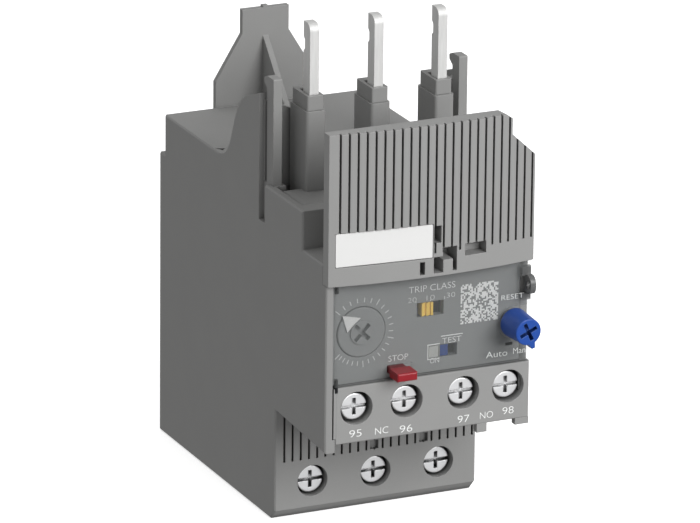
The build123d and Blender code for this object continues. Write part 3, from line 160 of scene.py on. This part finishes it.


# the grit of the eroded tool is about 0.05 mm; it is drawn at 0.25 mm so that it shows
# highlightColour and highlightShare set a painted highlight along edges; recessTone is the darkest
# the painted shade in recesses gets
plasticLooks = {
    "housingPolyamide": {"colour": "#8e8e8d", "shade": "#898988", "highlightColour": "#a4a4a3",
                         "roughness": 0.56, "mottleMm": 9.0, "grainMm": 0.28,
                         "grainStrength": 0.35, "grainDepthMm": 0.03, "edgeMm": 0.22, "highlightShare": 0.5},
    "coverPolyamide": {"colour": "#959594", "shade": "#90908f", "highlightColour": "#adadac",
                       "roughness": 0.54, "recessTone": 0.36, "mottleMm": 8.0, "grainMm": 0.25,
                       "grainStrength": 0.3, "grainDepthMm": 0.03, "edgeMm": 0.18, "highlightShare": 0.5},
    "panelPolycarbonate": {"colour": "#8f9191", "shade": "#8b8d8d", "highlightColour": "#a2a4a3",
                           "roughness": 0.48, "mottleMm": 7.0, "grainMm": 0.25,
                           "grainStrength": 0.2, "grainDepthMm": 0.02, "edgeMm": 0.15, "highlightShare": 0.4,
                           "recessTone": 0.95},
    "towerPolyamide": {"colour": "#8d8d8c", "shade": "#878786", "highlightColour": "#a3a3a2",
                       "roughness": 0.52, "mottleMm": 6.0, "grainMm": 0.25,
                       "grainStrength": 0.3, "grainDepthMm": 0.03, "edgeMm": 0.2, "highlightShare": 0.5},
    "labelPolyester": {"colour": "#e2e2e1", "shade": "#dfdfde", "highlightColour": "#e8e8e7",
                       "roughness": 0.42, "mottleMm": 5.0, "grainMm": 0.4,
                       "grainStrength": 0.1, "grainDepthMm": 0.01, "edgeMm": 0.1, "highlightShare": 0.2,
                       "recessTone": 0.97},
    "redPolycarbonate": {"colour": "#97111f", "shade": "#8c0f1c", "highlightColour": "#d4606f",
                         "roughness": 0.36, "mottleMm": 3.0, "grainMm": 0.25,
                         "grainStrength": 0.1, "grainDepthMm": 0.01, "edgeMm": 0.2, "highlightShare": 0.5},
    "bluePolycarbonate": {"colour": "#1c4da6", "shade": "#19479b", "highlightColour": "#6a8fe0",
                          "roughness": 0.34, "recessTone": 0.45, "mottleMm": 3.0, "grainMm": 0.25,
                          "grainStrength": 0.1, "grainDepthMm": 0.01, "edgeMm": 0.2, "highlightShare": 0.5},
    "yellowPolycarbonate": {"colour": "#fcd765", "shade": "#f6cd59", "highlightColour": "#fce4a0",
                            "roughness": 0.38, "recessTone": 0.95, "mottleMm": 2.0, "grainMm": 0.25,
                            "grainStrength": 0.1, "grainDepthMm": 0.01, "edgeMm": 0.1, "highlightShare": 0.4},
    "naturalAcetal": {"colour": "#e4e3dc", "shade": "#dddcd4", "highlightColour": "#efeee8",
                      "roughness": 0.4, "mottleMm": 4.0, "grainMm": 0.3,
                      "grainStrength": 0.1, "grainDepthMm": 0.01, "edgeMm": 0.15, "highlightShare": 0.3},
    "violetPolyester": {"colour": "#8f8da0", "shade": "#878598", "highlightColour": "#a3a1b0",
                        "roughness": 0.5, "mottleMm": 3.0, "grainMm": 0.25,
                        "grainStrength": 0.2, "grainDepthMm": 0.02, "edgeMm": 0.12, "highlightShare": 0.5,
                        "recessTone": 0.85},
    "blackPolyester": {"colour": "#2b2b2f", "shade": "#252529", "highlightColour": "#46464a",
                       "roughness": 0.5, "mottleMm": 3.0, "grainMm": 0.25,
                       "grainStrength": 0.2, "grainDepthMm": 0.02, "edgeMm": 0.12, "highlightShare": 0.5},
}


def between(tree, value, low, high, soft):
    # 1 where the value lies between low and high, with soft ends
    rise = addNode(tree, "ShaderNodeMapRange", {"From Min": low - soft, "From Max": low + soft},
                   {"Value": value})
    fall = addNode(tree, "ShaderNodeMapRange", {"From Min": high + soft, "From Max": high - soft},
                   {"Value": value})
    return addNode(tree, "ShaderNodeMath", {"operation": "MULTIPLY"},
                   {0: rise.outputs[0], 1: fall.outputs[0]})


def clearPolycarbonate(name, look):
    # clear sheet with a fine satin face: the print behind it shows through a thin grey haze,
    # while rims and the thick sealing eye take in more light and look smoky
    material, tree, shader = newMaterial(name, {"IOR": 1.585})
    satin = objectNoise(tree, look["grainMm"], 1.0)
    gloss = addNode(tree, "ShaderNodeMapRange",
                    {"To Min": look["roughness"] - 0.04, "To Max": look["roughness"] + 0.05},
                    {"Value": satin.outputs[0]})
    bevel = softEdges(tree, look["edgeMm"])
    rim = highlightAndRimEdges(tree, bevel)
    place = addNode(tree, "ShaderNodeTexCoord")
    axes = addNode(tree, "ShaderNodeSeparateXYZ", links={0: place.outputs["Object"]})
    x0, x1, z0, z1 = (edge * mm for edge in look["thickMm"])
    across = between(tree, axes.outputs["X"], x0, x1, 0.1 * mm)
    upright = between(tree, axes.outputs["Z"], z0, z1, 0.1 * mm)
    thick = addNode(tree, "ShaderNodeMath", {"operation": "MULTIPLY"},
                    {0: across.outputs[0], 1: upright.outputs[0]})
    rimShare = addNode(tree, "ShaderNodeMath", {"operation": "MULTIPLY", 1: look["rimAlpha"]},
                       {0: rim.outputs[0]})
    dense = addNode(tree, "ShaderNodeMath", {"operation": "MAXIMUM"},
                    {0: rimShare.outputs[0], 1: thick.outputs[0]})
    alpha = addNode(tree, "ShaderNodeMapRange", {"To Min": look["alpha"], "To Max": 0.85},
                    {"Value": dense.outputs[0]})
    tone = addNode(tree, "ShaderNodeMix",
                   {"data_type": "RGBA", 6: linearColour(look["colour"]),
                    7: linearColour(look["thickColour"])}, {0: thick.outputs[0]})
    bump = addNode(tree, "ShaderNodeBump", {"Strength": 0.12, "Distance": 0.01 * mm},
                   {"Height": satin.outputs[0], "Normal": bevel.outputs[0]})
    tree.links.new(tone.outputs[2], shader.inputs["Base Color"])
    tree.links.new(alpha.outputs[0], shader.inputs["Alpha"])
    tree.links.new(gloss.outputs[0], shader.inputs["Roughness"])
    tree.links.new(bump.outputs[0], shader.inputs["Normal"])
    return material


def platedMetal(name, look):
    # metal with the streaks that rolling, drawing or plating leaves along it, and painted shade in
    # its recesses
    material, tree, shader = newMaterial(name, {"Metallic": 1.0})
    streaks = objectNoise(tree, look["streakMm"], 2.0, look["stretch"])
    tone = addNode(tree, "ShaderNodeMix",
                   {"data_type": "RGBA", 6: linearColour(look["colour"]),
                    7: linearColour(look["shade"])}, {0: streaks.outputs[0]})
    gloss = addNode(tree, "ShaderNodeMapRange",
                    {"To Min": look["roughness"] - 0.06, "To Max": look["roughness"] + 0.08},
                    {"Value": streaks.outputs[0]})
    bevel = softEdges(tree, look["edgeMm"])
    bump = addNode(tree, "ShaderNodeBump",
                   {"Strength": look["streakStrength"], "Distance": 0.01 * mm},
                   {"Height": streaks.outputs[0], "Normal": bevel.outputs[0]})
    recess = shadedRecess(tree, look["recessMm"])
    shaded = paintedShade(tree, tone.outputs[2], recess, look["recessTone"])
    tree.links.new(shaded.outputs[2], shader.inputs["Base Color"])
    tree.links.new(gloss.outputs[0], shader.inputs["Roughness"])
    tree.links.new(bump.outputs[0], shader.inputs["Normal"])
    return material


# recessTone is the darkest the painted shade in recesses gets; the plated steel's screw slots go
# almost black
metalLooks = {
    "tinnedCopper": {"colour": "#e8e8e7", "shade": "#d8d8d7", "roughness": 0.7,
                     "streakMm": 0.5, "stretch": (1, 1, 0.08), "streakStrength": 0.3,
                     "edgeMm": 0.15, "recessMm": 1.5, "recessTone": 0.5},
    "zincPlatedSteel": {"colour": "#f7f7f8", "shade": "#eeeff0", "roughness": 0.5,
                        "streakMm": 0.6, "stretch": (1, 1, 1), "streakStrength": 0.1,
                        "edgeMm": 0.12, "recessMm": 1.6, "recessTone": 0.04},
    "drawnSpringWire": {"colour": "#b9babd", "shade": "#a4a5a9", "roughness": 0.32,
                        "streakMm": 0.3, "stretch": (1, 0.3, 1), "streakStrength": 0.2,
                        "edgeMm": 0.05, "recessMm": 1.0, "recessTone": 0.4},
    # dark colour for the hinge pins: partly their own dark steel, partly painted shade where they
    # sit in shadow
    "shadedPinSteel": {"colour": "#3a3b3d", "shade": "#303133", "roughness": 0.45,
                     "streakMm": 0.3, "stretch": (1, 1, 0.3), "streakStrength": 0.2,
                     "edgeMm": 0.05, "recessMm": 1.0, "recessTone": 0.4},
    "stampedBrass": {"colour": "#d8b56a", "shade": "#c7a258", "roughness": 0.34,
                     "streakMm": 0.5, "stretch": (1, 0.2, 1), "streakStrength": 0.2,
                     "edgeMm": 0.08, "recessMm": 1.0, "recessTone": 0.4},
}


def laminatedSteel(name, look):
    # stacked electrical sheet: thin dark lines between 0.35 mm laminations, blued faces
    material, tree, shader = newMaterial(name, {"Metallic": 1.0})
    place = addNode(tree, "ShaderNodeTexCoord")
    sheets = addNode(tree, "ShaderNodeTexWave",
                     {"wave_type": "BANDS", "bands_direction": "Z",
                      "Scale": bandStep / (look["sheetMm"] * mm), "Distortion": 0.3},
                     {"Vector": place.outputs["Object"]})
    tone = addNode(tree, "ShaderNodeMix",
                   {"data_type": "RGBA", 6: linearColour(look["gap"]),
                    7: linearColour(look["colour"])}, {0: sheets.outputs[1]})
    bump = addNode(tree, "ShaderNodeBump", {"Strength": 0.4, "Distance": 0.02 * mm},
                   {"Height": sheets.outputs[1]})
    tree.links.new(tone.outputs[2], shader.inputs["Base Color"])
    tree.links.new(bump.outputs[0], shader.inputs["Normal"])
    shader.inputs["Roughness"].default_value = look["roughness"]
    return material


def enamelledWinding(name, look):
    # rows of enamelled copper wire side by side
    material, tree, shader = newMaterial(name, {"Metallic": 1.0, "Roughness": look["roughness"],
                                                "Coat Weight": 0.5})
    place = addNode(tree, "ShaderNodeTexCoord")
    wires = addNode(tree, "ShaderNodeTexWave",
                    {"wave_type": "BANDS", "bands_direction": "X",
                     "Scale": bandStep / (look["wireMm"] * mm), "Distortion": 0.4},
                    {"Vector": place.outputs["Object"]})
    tone = addNode(tree, "ShaderNodeMix",
                   {"data_type": "RGBA", 6: linearColour(look["shade"]),
                    7: linearColour(look["colour"])}, {0: wires.outputs[1]})
    bump = addNode(tree, "ShaderNodeBump", {"Strength": 0.8, "Distance": 0.08 * mm},
                   {"Height": wires.outputs[1]})
    tree.links.new(tone.outputs[2], shader.inputs["Base Color"])
    tree.links.new(bump.outputs[0], shader.inputs["Normal"])
    return material


def solderMaskBoard(name, look):
    # glass-fibre board under green solder mask: the weave shows faintly through the lacquer
    material, tree, shader = newMaterial(name, {"IOR": 1.5, "Roughness": look["roughness"],
                                                "Coat Weight": 0.4})
    weave = objectNoise(tree, look["weaveMm"], 1.0, (1, 1, 0.4))
    tone = addNode(tree, "ShaderNodeMix",
                   {"data_type": "RGBA", 6: linearColour(look["colour"]),
                    7: linearColour(look["shade"])}, {0: weave.outputs[0]})
    bump = addNode(tree, "ShaderNodeBump", {"Strength": 0.2, "Distance": 0.02 * mm},
                   {"Height": weave.outputs[0]})
    tree.links.new(tone.outputs[2], shader.inputs["Base Color"])
    tree.links.new(bump.outputs[0], shader.inputs["Normal"])
    return material


def printedInk(name, look):
    # pad-printed ink: flat, slightly uneven where the pad lifted
    material, tree, shader = newMaterial(name, {"IOR": 1.5, "Roughness": look["roughness"]})
    uneven = objectNoise(tree, look["unevenMm"], 2.0)
    tone = addNode(tree, "ShaderNodeMix",
                   {"data_type": "RGBA", 6: linearColour(look["colour"]),
                    7: linearColour(look["shade"])}, {0: uneven.outputs[0]})
    tree.links.new(tone.outputs[2], shader.inputs["Base Color"])
    return material


materials = {name: mouldedPlastic(name, look) for name, look in plasticLooks.items()}
materials.update({name: platedMetal(name, look) for name, look in metalLooks.items()})
materials["clearPolycarbonate"] = clearPolycarbonate(
    "clearPolycarbonate", {"colour": "#8b8e8d", "thickColour": "#5a5b5b", "alpha": 0.16,
                           "rimAlpha": 0.35, "roughness": 0.36, "grainMm": 0.3, "edgeMm": 0.12,
                           "thickMm": (20.4, 24.0, 49.5, 56.5)})
materials["lightPipeAcrylic"] = clearPolycarbonate(
    "lightPipeAcrylic", {"colour": "#c4c6c2", "thickColour": "#c4c6c2", "alpha": 0.7,
                         "rimAlpha": 0.6, "roughness": 0.3, "grainMm": 0.3, "edgeMm": 0.12,
                         "thickMm": (0.0, 4.0, 38.0, 43.0)})
materials["laminatedSteel"] = laminatedSteel(
    "laminatedSteel", {"colour": "#7f838a", "gap": "#3a3c40", "sheetMm": 0.35, "roughness": 0.45})
materials["enamelledWinding"] = enamelledWinding(
    "enamelledWinding", {"colour": "#c8743c", "shade": "#7c3f1c", "wireMm": 0.25,
                         "roughness": 0.3})
materials["solderMaskBoard"] = solderMaskBoard(
    "solderMaskBoard", {"colour": "#1c6b3c", "shade": "#175c33", "weaveMm": 0.5,
                        "roughness": 0.35})
materials["whiteInk"] = printedInk("whiteInk", {"colour": "#f8f9f8", "shade": "#eff0ef",
                                                "roughness": 0.55, "unevenMm": 0.4})
materials["paleInk"] = printedInk("paleInk", {"colour": "#dcdedc", "shade": "#d2d4d2",
                                              "roughness": 0.55, "unevenMm": 0.4})
# slotShadeDark is no print: it is the painted shade of the recessed slot beside the reset knob
materials["slotShadeDark"] = printedInk("slotShadeDark", {"colour": "#3c3e3d", "shade": "#333534",
                                              "roughness": 0.6, "unevenMm": 0.4})
print("materials made,", len(materials))

# which material each of the record's slots wears
slotMaterials = {
    "housing_plastic": "housingPolyamide",
    "cover_plastic": "coverPolyamide",
    "panel_plastic": "panelPolycarbonate",
    "tower_plastic": "towerPolyamide",
    "label_plastic": "labelPolyester",
    "clear_plastic": "clearPolycarbonate",
    "red_plastic": "redPolycarbonate",
    "blue_plastic": "bluePolycarbonate",
    "yellow_plastic": "yellowPolycarbonate",
    "white_plastic": "naturalAcetal",
    "black_plastic": "blackPolyester",
    "board_laminate": "solderMaskBoard",
    "tinned_copper": "tinnedCopper",
    "plated_steel": "zincPlatedSteel",
    "spring_steel": "drawnSpringWire",
    "contact_brass": "stampedBrass",
    "core_steel": "laminatedSteel",
    "copper_winding": "enamelledWinding",
}
ownMaterials = {"status_light_pipe": "lightPipeAcrylic", "cover_hinge_pins": "shadedPinSteel",
                "class_switch_body": "violetPolyester", "test_switch_body": "violetPolyester"}


def dressFrame():
    for part in frame["record"]["subparts"]:
        node = nodes[part["node"]]
        name = ownMaterials.get(part["node"], slotMaterials[part["material_slot"]])
        node.data.materials.clear()
        node.data.materials.append(materials[name])


dressFrame()
print("frame dressed")


# printed words


def newPiece(name, mesh, body):
    piece = bpy.data.objects.new(name, mesh)
    bpy.context.scene.collection.objects.link(piece)
    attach(piece, body)
    return piece


printLook = {"thicknessMm": 0.03, "liftMm": 0.01, "strokeOffset": -0.012}


def printedWord(name, words, leftMm, footMm, widthMm, heightMm, planeMm, material, body):
    curve = bpy.data.curves.new(name + "Curve", "FONT")
    curve.body = words
    curve.size = 1.0
    curve.offset = printLook["strokeOffset"]
    curve.resolution_u = 4
    holder = bpy.data.objects.new(name + "Holder", curve)
    bpy.context.scene.collection.objects.link(holder)
    bpy.context.view_layer.update()
    mesh = bpy.data.meshes.new_from_object(holder.evaluated_get(
        bpy.context.evaluated_depsgraph_get()))
    bpy.data.objects.remove(holder)
    xs = [v.co.x for v in mesh.vertices]
    ys = [v.co.y for v in mesh.vertices]
    wide = widthMm / (max(xs) - min(xs))
    tall = heightMm / (max(ys) - min(ys))
    front = planeMm - printLook["liftMm"] - printLook["thicknessMm"]
    for vertex in mesh.vertices:
        x = leftMm + (vertex.co.x - min(xs)) * wide
        z = footMm + (vertex.co.y - min(ys)) * tall
        vertex.co = fromBand(x, front, z)
    mesh.name = name
    mesh.materials.clear()
    mesh.materials.append(materials[material])
    return newPiece(name, mesh, body)


# words and numbers on the panel, from left and foot in mm, then width and height
panelWords = {
    "classTitle": ("TRIP CLASS", -3.7, 53.5, 10.2, 1.3, "whiteInk"),
    "classNumber20": ("20", -3.9, 51.5, 1.9, 1.05, "paleInk"),
    "classNumber10": ("10", 0.2, 51.5, 1.8, 1.05, "paleInk"),
    "classNumber30": ("30", 4.6, 51.5, 1.9, 1.05, "paleInk"),
    "testWord": ("TEST", 3.8, 41.95, 4.2, 1.15, "whiteInk"),
    "stopWord": ("STOP", -8.0, 39.75, 4.3, 1.2, "whiteInk"),
    "onWord": ("ON", 1.15, 38.1, 2.0, 1.1, "whiteInk"),
}
windowWords = {
    "resetWord": ("RESET", 15.8, 50.05, 4.9, 1.05, "paleInk"),
    "autoWord": ("Auto", 12.6, 38.25, 4.7, 1.3, "paleInk"),
    "manWord": ("Man", 18.6, 38.35, 2.7, 1.25, "paleInk"),
}
terminalWords = {
    "terminal95": ("95", -17.15, 25.5, 2.7, 1.5, "whiteInk"),
    "breakContact": ("NC", -11.5, 25.35, 2.9, 1.4, "whiteInk"),
    "terminal96": ("96", -6.1, 24.95, 2.8, 1.5, "whiteInk"),
    "terminal97": ("97", 6.7, 25.2, 2.6, 1.5, "whiteInk"),
    "makeContact": ("NO", 11.65, 25.35, 2.9, 1.4, "whiteInk"),
    "terminal98": ("98", 16.65, 25.6, 2.5, 1.5, "whiteInk"),
}
panelPlaneMm = 2.5
windowPlaneMm = 0.5
terminalPlaneMm = 0.9

for name, (words, left, foot, width, height, ink) in panelWords.items():
    printedWord(name, words, left, foot, width, height, panelPlaneMm, ink, "root")
for name, (words, left, foot, width, height, ink) in windowWords.items():
    printedWord(name, words, left, foot, width, height, windowPlaneMm, ink, "window")
for name, (words, left, foot, width, height, ink) in terminalWords.items():
    printedWord(name, words, left, foot, width, height, terminalPlaneMm, ink, "root")
print("words printed")


# printed marks that repeat, by geometry nodes


def newTree(name, inputs):
    tree = bpy.data.node_groups.new(name, "GeometryNodeTree")
    for title, kind, value in inputs:
        socket = tree.interface.new_socket(title, in_out="INPUT", socket_type=kind)
        if value is not None:
            socket.default_value = value
    tree.interface.new_socket("Geometry", in_out="OUTPUT", socket_type="NodeSocketGeometry")
    return tree, addNode(tree, "NodeGroupInput"), tree.nodes.new("NodeGroupOutput")


def bakeTree(name, tree, values, body):
    # runs the tree on an empty mesh and keeps the result as a plain mesh
    holder = bpy.data.objects.new(name + "Holder", bpy.data.meshes.new(name + "Empty"))
    bpy.context.scene.collection.objects.link(holder)
    modifier = holder.modifiers.new("repeat", "NODES")
    modifier.node_group = tree
    sockets = {item.name: item.identifier for item in tree.interface.items_tree
               if item.item_type == "SOCKET" and item.in_out == "INPUT"}
    for title, value in values.items():
        modifier[sockets[title]] = value
    bpy.context.view_layer.update()
    mesh = bpy.data.meshes.new_from_object(holder.evaluated_get(
        bpy.context.evaluated_depsgraph_get()))
    holder.modifiers.remove(modifier)
    bpy.data.objects.remove(holder)
    mesh.name = name
    return newPiece(name, mesh, body)


def mathNode(tree, operation, first, second):
    settings, links = {"operation": operation}, {}
    for index, value in enumerate((first, second)):
        if isinstance(value, (int, float)):
            settings[index] = value
        else:
            links[index] = value
    return addNode(tree, "ShaderNodeMath", settings, links).outputs[0]


def scaleTicks(name, look, body):
    tree, given, out = newTree(name + "Tree", [
        ("Count", "NodeSocketInt", look["count"]),
        ("Radius", "NodeSocketFloat", look["radiusMm"] * mm),
        ("Length", "NodeSocketFloat", look["lengthMm"] * mm),
        ("Width", "NodeSocketFloat", look["widthMm"] * mm),
        ("Thickness", "NodeSocketFloat", printLook["thicknessMm"] * mm),
        ("Start", "NodeSocketFloat", math.radians(look["startDegrees"])),
        ("Span", "NodeSocketFloat", math.radians(look["spanDegrees"])),
        ("Spread", "NodeSocketFloat", look["spread"]),
        ("Every", "NodeSocketInt", look["longEvery"]),
        ("Stretch", "NodeSocketFloat", look["longStretch"]),
        ("Centre", "NodeSocketVector", fromBand(look["xMm"], look["planeMm"], look["zMm"])),
    ])
    index = addNode(tree, "GeometryNodeInputIndex").outputs[0]
    last = mathNode(tree, "SUBTRACT", given.outputs["Count"], 1)
    share = mathNode(tree, "POWER", mathNode(tree, "DIVIDE", index, last),
                     given.outputs["Spread"])
    angle = mathNode(tree, "ADD", given.outputs["Start"],
                     mathNode(tree, "MULTIPLY", given.outputs["Span"], share))
    beat = mathNode(tree, "MODULO", index, given.outputs["Every"])
    isLong = mathNode(tree, "LESS_THAN", beat, 0.5)
    stretch = mathNode(tree, "ADD", 1.0, mathNode(tree, "MULTIPLY", isLong,
                                                  given.outputs["Stretch"]))
    reach = mathNode(tree, "ADD", given.outputs["Radius"], mathNode(
        tree, "MULTIPLY", mathNode(tree, "MULTIPLY", given.outputs["Length"], stretch), 0.5))
    x = mathNode(tree, "MULTIPLY", reach, mathNode(tree, "COSINE", angle, 0))
    z = mathNode(tree, "MULTIPLY", reach, mathNode(tree, "SINE", angle, 0))
    place = addNode(tree, "ShaderNodeCombineXYZ", links={0: x, 2: z})
    moved = addNode(tree, "ShaderNodeVectorMath", {"operation": "ADD"},
                    {0: place.outputs[0], 1: given.outputs["Centre"]})
    points = addNode(tree, "GeometryNodePoints", links={"Count": given.outputs["Count"],
                                                        "Position": moved.outputs[0]})
    size = addNode(tree, "ShaderNodeCombineXYZ",
                   links={0: given.outputs["Length"], 1: given.outputs["Thickness"],
                          2: given.outputs["Width"]})
    tick = addNode(tree, "GeometryNodeMeshCube", links={"Size": size.outputs[0]})
    turn = addNode(tree, "ShaderNodeCombineXYZ",
                   links={1: mathNode(tree, "MULTIPLY", angle, -1.0)})
    longer = addNode(tree, "ShaderNodeCombineXYZ", {1: 1.0, 2: 1.0}, {0: stretch})
    placed = addNode(tree, "GeometryNodeInstanceOnPoints",
                     links={"Points": points.outputs[0], "Instance": tick.outputs[0],
                            "Rotation": turn.outputs[0], "Scale": longer.outputs[0]})
    finishTree(tree, placed.outputs[0], out, look["ink"])
    return bakeTree(name, tree, {"Count": look["count"]}, body)


def finishTree(tree, geometry, out, ink):
    real = addNode(tree, "GeometryNodeRealizeInstances", links={"Geometry": geometry})
    inked = addNode(tree, "GeometryNodeSetMaterial", {"Material": materials[ink]},
                    {"Geometry": real.outputs[0]})
    tree.links.new(inked.outputs[0], out.inputs[0])


dialScale = {"count": 25, "radiusMm": 6.15, "lengthMm": 0.95, "widthMm": 0.17,
             "startDegrees": 222.0, "spanDegrees": 276.0, "spread": 1.2, "longEvery": 6,
             "longStretch": 0.45, "xMm": -14.1, "zMm": 46.9, "planeMm": 2.47,
             "ink": "paleInk"}
scaleTicks("dialScale", dialScale, "root")


def squareField(name, look, body):
    # a block of random printed squares: a pattern with no reading in it
    tree, given, out = newTree(name + "Tree", [
        ("Cells", "NodeSocketInt", look["cells"]),
        ("Size", "NodeSocketFloat", look["sizeMm"] * mm),
        ("Share", "NodeSocketFloat", look["share"]),
        ("Seed", "NodeSocketInt", look["seed"]),
        ("Thickness", "NodeSocketFloat", printLook["thicknessMm"] * mm),
        ("Centre", "NodeSocketVector", fromBand(look["xMm"], look["planeMm"], look["zMm"])),
    ])
    pitch = mathNode(tree, "DIVIDE", given.outputs["Size"], given.outputs["Cells"])
    span = mathNode(tree, "SUBTRACT", given.outputs["Size"], pitch)
    grid = addNode(tree, "GeometryNodeMeshGrid",
                   links={"Size X": span, "Size Y": span, "Vertices X": given.outputs["Cells"],
                          "Vertices Y": given.outputs["Cells"]})
    upright = addNode(tree, "GeometryNodeTransform",
                      {"Rotation": (math.radians(90), 0, 0)},
                      {"Geometry": grid.outputs[0], "Translation": given.outputs["Centre"]})
    dice = addNode(tree, "FunctionNodeRandomValue",
                   {"data_type": "BOOLEAN"},
                   {"Probability": given.outputs["Share"], "Seed": given.outputs["Seed"]})
    points = addNode(tree, "GeometryNodeMeshToPoints",
                     links={"Mesh": upright.outputs[0], "Selection": dice.outputs[3]})
    size = addNode(tree, "ShaderNodeCombineXYZ",
                   links={0: pitch, 1: given.outputs["Thickness"], 2: pitch})
    square = addNode(tree, "GeometryNodeMeshCube", links={"Size": size.outputs[0]})
    placed = addNode(tree, "GeometryNodeInstanceOnPoints",
                     links={"Points": points.outputs[0], "Instance": square.outputs[0]})
    finishTree(tree, placed.outputs[0], out, look["ink"])
    return bakeTree(name, tree, {"Seed": look["seed"]}, body)


codeField = {"cells": 25, "sizeMm": 8.3, "share": 0.55, "seed": 7, "xMm": 11.9, "zMm": 49.6,
             "planeMm": 2.47, "ink": "whiteInk"}
squareField("squareField", codeField, "root")
print("scale and pattern printed")


# bars and frames of the panel's print, and one painted shade mark


def plate(x0, x1, z0, z1, planeMm):
    # one flat printed rectangle as vertices and faces, thickness towards the eye
    front = planeMm - printLook["liftMm"] - printLook["thicknessMm"]
    back = planeMm - printLook["liftMm"]
    corners = [fromBand(x, y, z) for y in (front, back) for x, z in
               ((x0, z0), (x1, z0), (x1, z1), (x0, z1))]
    faces = [(0, 1, 2, 3), (7, 6, 5, 4), (0, 4, 5, 1), (1, 5, 6, 2), (2, 6, 7, 3), (3, 7, 4, 0)]
    return corners, faces


def printedBars(name, bars, planeMm, material, body):
    corners, faces = [], []
    for x0, x1, z0, z1 in bars:
        barCorners, barFaces = plate(x0, x1, z0, z1, planeMm)
        faces += [tuple(i + len(corners) for i in face) for face in barFaces]
        corners += barCorners
    mesh = bpy.data.meshes.new(name)
    mesh.from_pydata(corners, [], faces)
    mesh.materials.append(materials[material])
    mesh.update()
    return newPiece(name, mesh, body)


lineWidth = 0.17
lightFrame = [(0.75, 3.25, 41.95, 41.95 + lineWidth), (0.75, 3.25, 39.05 - lineWidth, 39.05),
              (0.75 - lineWidth, 0.75, 39.05 - lineWidth, 41.95 + lineWidth)]
classLeaders = [(-2.2, -2.2 + lineWidth, 51.3, 51.9), (1.0, 1.0 + lineWidth, 51.3, 51.6),
                (4.1, 4.1 + lineWidth, 51.3, 51.9)]
testBar = [(3.5, 8.3, 43.45, 43.45 + lineWidth)]
# painted shade: the recessed slot beside the reset knob is drawn as a flat dark dash
knobSlotShade = [(16.8, 18.4, 40.4, 41.0)]  # dark dash beside the knob, at its Auto end
printedBars("lightFrame", lightFrame, panelPlaneMm, "whiteInk", "root")
printedBars("classLeaders", classLeaders, panelPlaneMm, "paleInk", "root")
printedBars("testBar", testBar, panelPlaneMm, "whiteInk", "root")
printedBars("knobSlotShade", knobSlotShade, windowPlaneMm, "slotShadeDark", "window")
print("frames and lines printed")


# floor, light and camera


def studioFloor():
    look = {"halfSize": 6.0, "below": -0.0001, "colour": "#f4f4f4", "glow": 0.62}
    material, tree, shader = newMaterial("paperSweep", {
        "Base Color": linearColour(look["colour"]), "Roughness": 0.9,
        "Emission Color": linearColour("#ffffff"), "Emission Strength": look["glow"]})
    half, z = look["halfSize"], look["below"]
    mesh = bpy.data.meshes.new("studioFloor")
    mesh.from_pydata([(-half, -half, z), (half, -half, z), (half, half, z), (-half, half, z)],
                     [], [(0, 1, 2, 3)])
    mesh.materials.append(material)
    floor = bpy.data.objects.new("studioFloor", mesh)
    bpy.context.scene.collection.objects.link(floor)
    floor.visible_diffuse = False  # the floor throws no light back on the relay
    floor.visible_glossy = False


def softbox(name, look):
    # a square soft light that looks at the middle of the relay
    data = bpy.data.lights.new(name, "AREA")
    data.shape = "SQUARE"
    data.size = look["size"]
    data.energy = look["power"]
    lamp = bpy.data.objects.new(name, data)
    aim = Vector((0, 0, look["aimHeight"]))
    place = aim + Vector(look["towards"]).normalized() * look["distance"]
    lamp.location = place
    lamp.rotation_mode = "QUATERNION"
    lamp.rotation_quaternion = (aim - place).to_track_quat("-Z", "Y")
    bpy.context.scene.collection.objects.link(lamp)


def studioLight():
    look = {"above": 0.5, "below": 0.38, "key": 19.5, "top": 3.3}
    world = bpy.data.worlds.new("studio")
    bpy.context.scene.world = world
    world.use_nodes = True
    tree = world.node_tree
    background = tree.nodes["Background"]
    direction = addNode(tree, "ShaderNodeTexCoord")
    axes = addNode(tree, "ShaderNodeSeparateXYZ", links={0: direction.outputs["Generated"]})
    glow = addNode(tree, "ShaderNodeMapRange", {"From Min": -0.3, "From Max": 0.4,
                                                "To Min": look["below"], "To Max": look["above"]},
                   {"Value": axes.outputs["Z"]})
    background.inputs["Color"].default_value = linearColour("#ffffff")
    tree.links.new(glow.outputs[0], background.inputs["Strength"])
    softbox("keyLight", {"size": 0.9, "aimHeight": 0.05, "power": look["key"], "distance": 1.5,
                         "towards": (0.30, -0.90, 0.42)})
    softbox("topLight", {"size": 1.2, "aimHeight": 0.05, "power": look["top"], "distance": 1.6,
                         "towards": (-0.1, 0.1, 1.0)})


def photoCamera():
    # the photograph's view, found from the straight edges of the relay
    look = {"azimuth": -24.812, "elevation": 18.740, "roll": 0.603, "lens": 360.0,
            "place": (-565.74, -1240.89, 505.74), "lift": 0.1, "aside": 0.7, "width": 700}
    azimuth, elevation, roll = (math.radians(look[k]) for k in ("azimuth", "elevation", "roll"))
    back = Vector((math.sin(azimuth) * math.cos(elevation),
                   -math.cos(azimuth) * math.cos(elevation), math.sin(elevation)))
    right = Vector((math.cos(azimuth), math.sin(azimuth), 0))
    up = back.cross(right)
    rolledRight = right * math.cos(roll) + up * math.sin(roll)
    rolledUp = up * math.cos(roll) - right * math.sin(roll)
    data = bpy.data.cameras.new("photoCamera")
    data.lens = look["lens"]
    data.sensor_width = 36.0
    data.shift_x = look["aside"] / look["width"]
    data.shift_y = look["lift"] / look["width"]
    data.clip_start = 0.1
    data.clip_end = 50.0
    camera = bpy.data.objects.new("photoCamera", data)
    camera.matrix_world = Matrix.Translation(Vector(look["place"]) * mm) @ Matrix(
        (rolledRight, rolledUp, back)).transposed().to_4x4()
    bpy.context.scene.collection.objects.link(camera)
    bpy.context.scene.camera = camera


studioFloor()
studioLight()
photoCamera()
bpy.context.scene.view_settings.view_transform = "Standard"
print("studio ready")
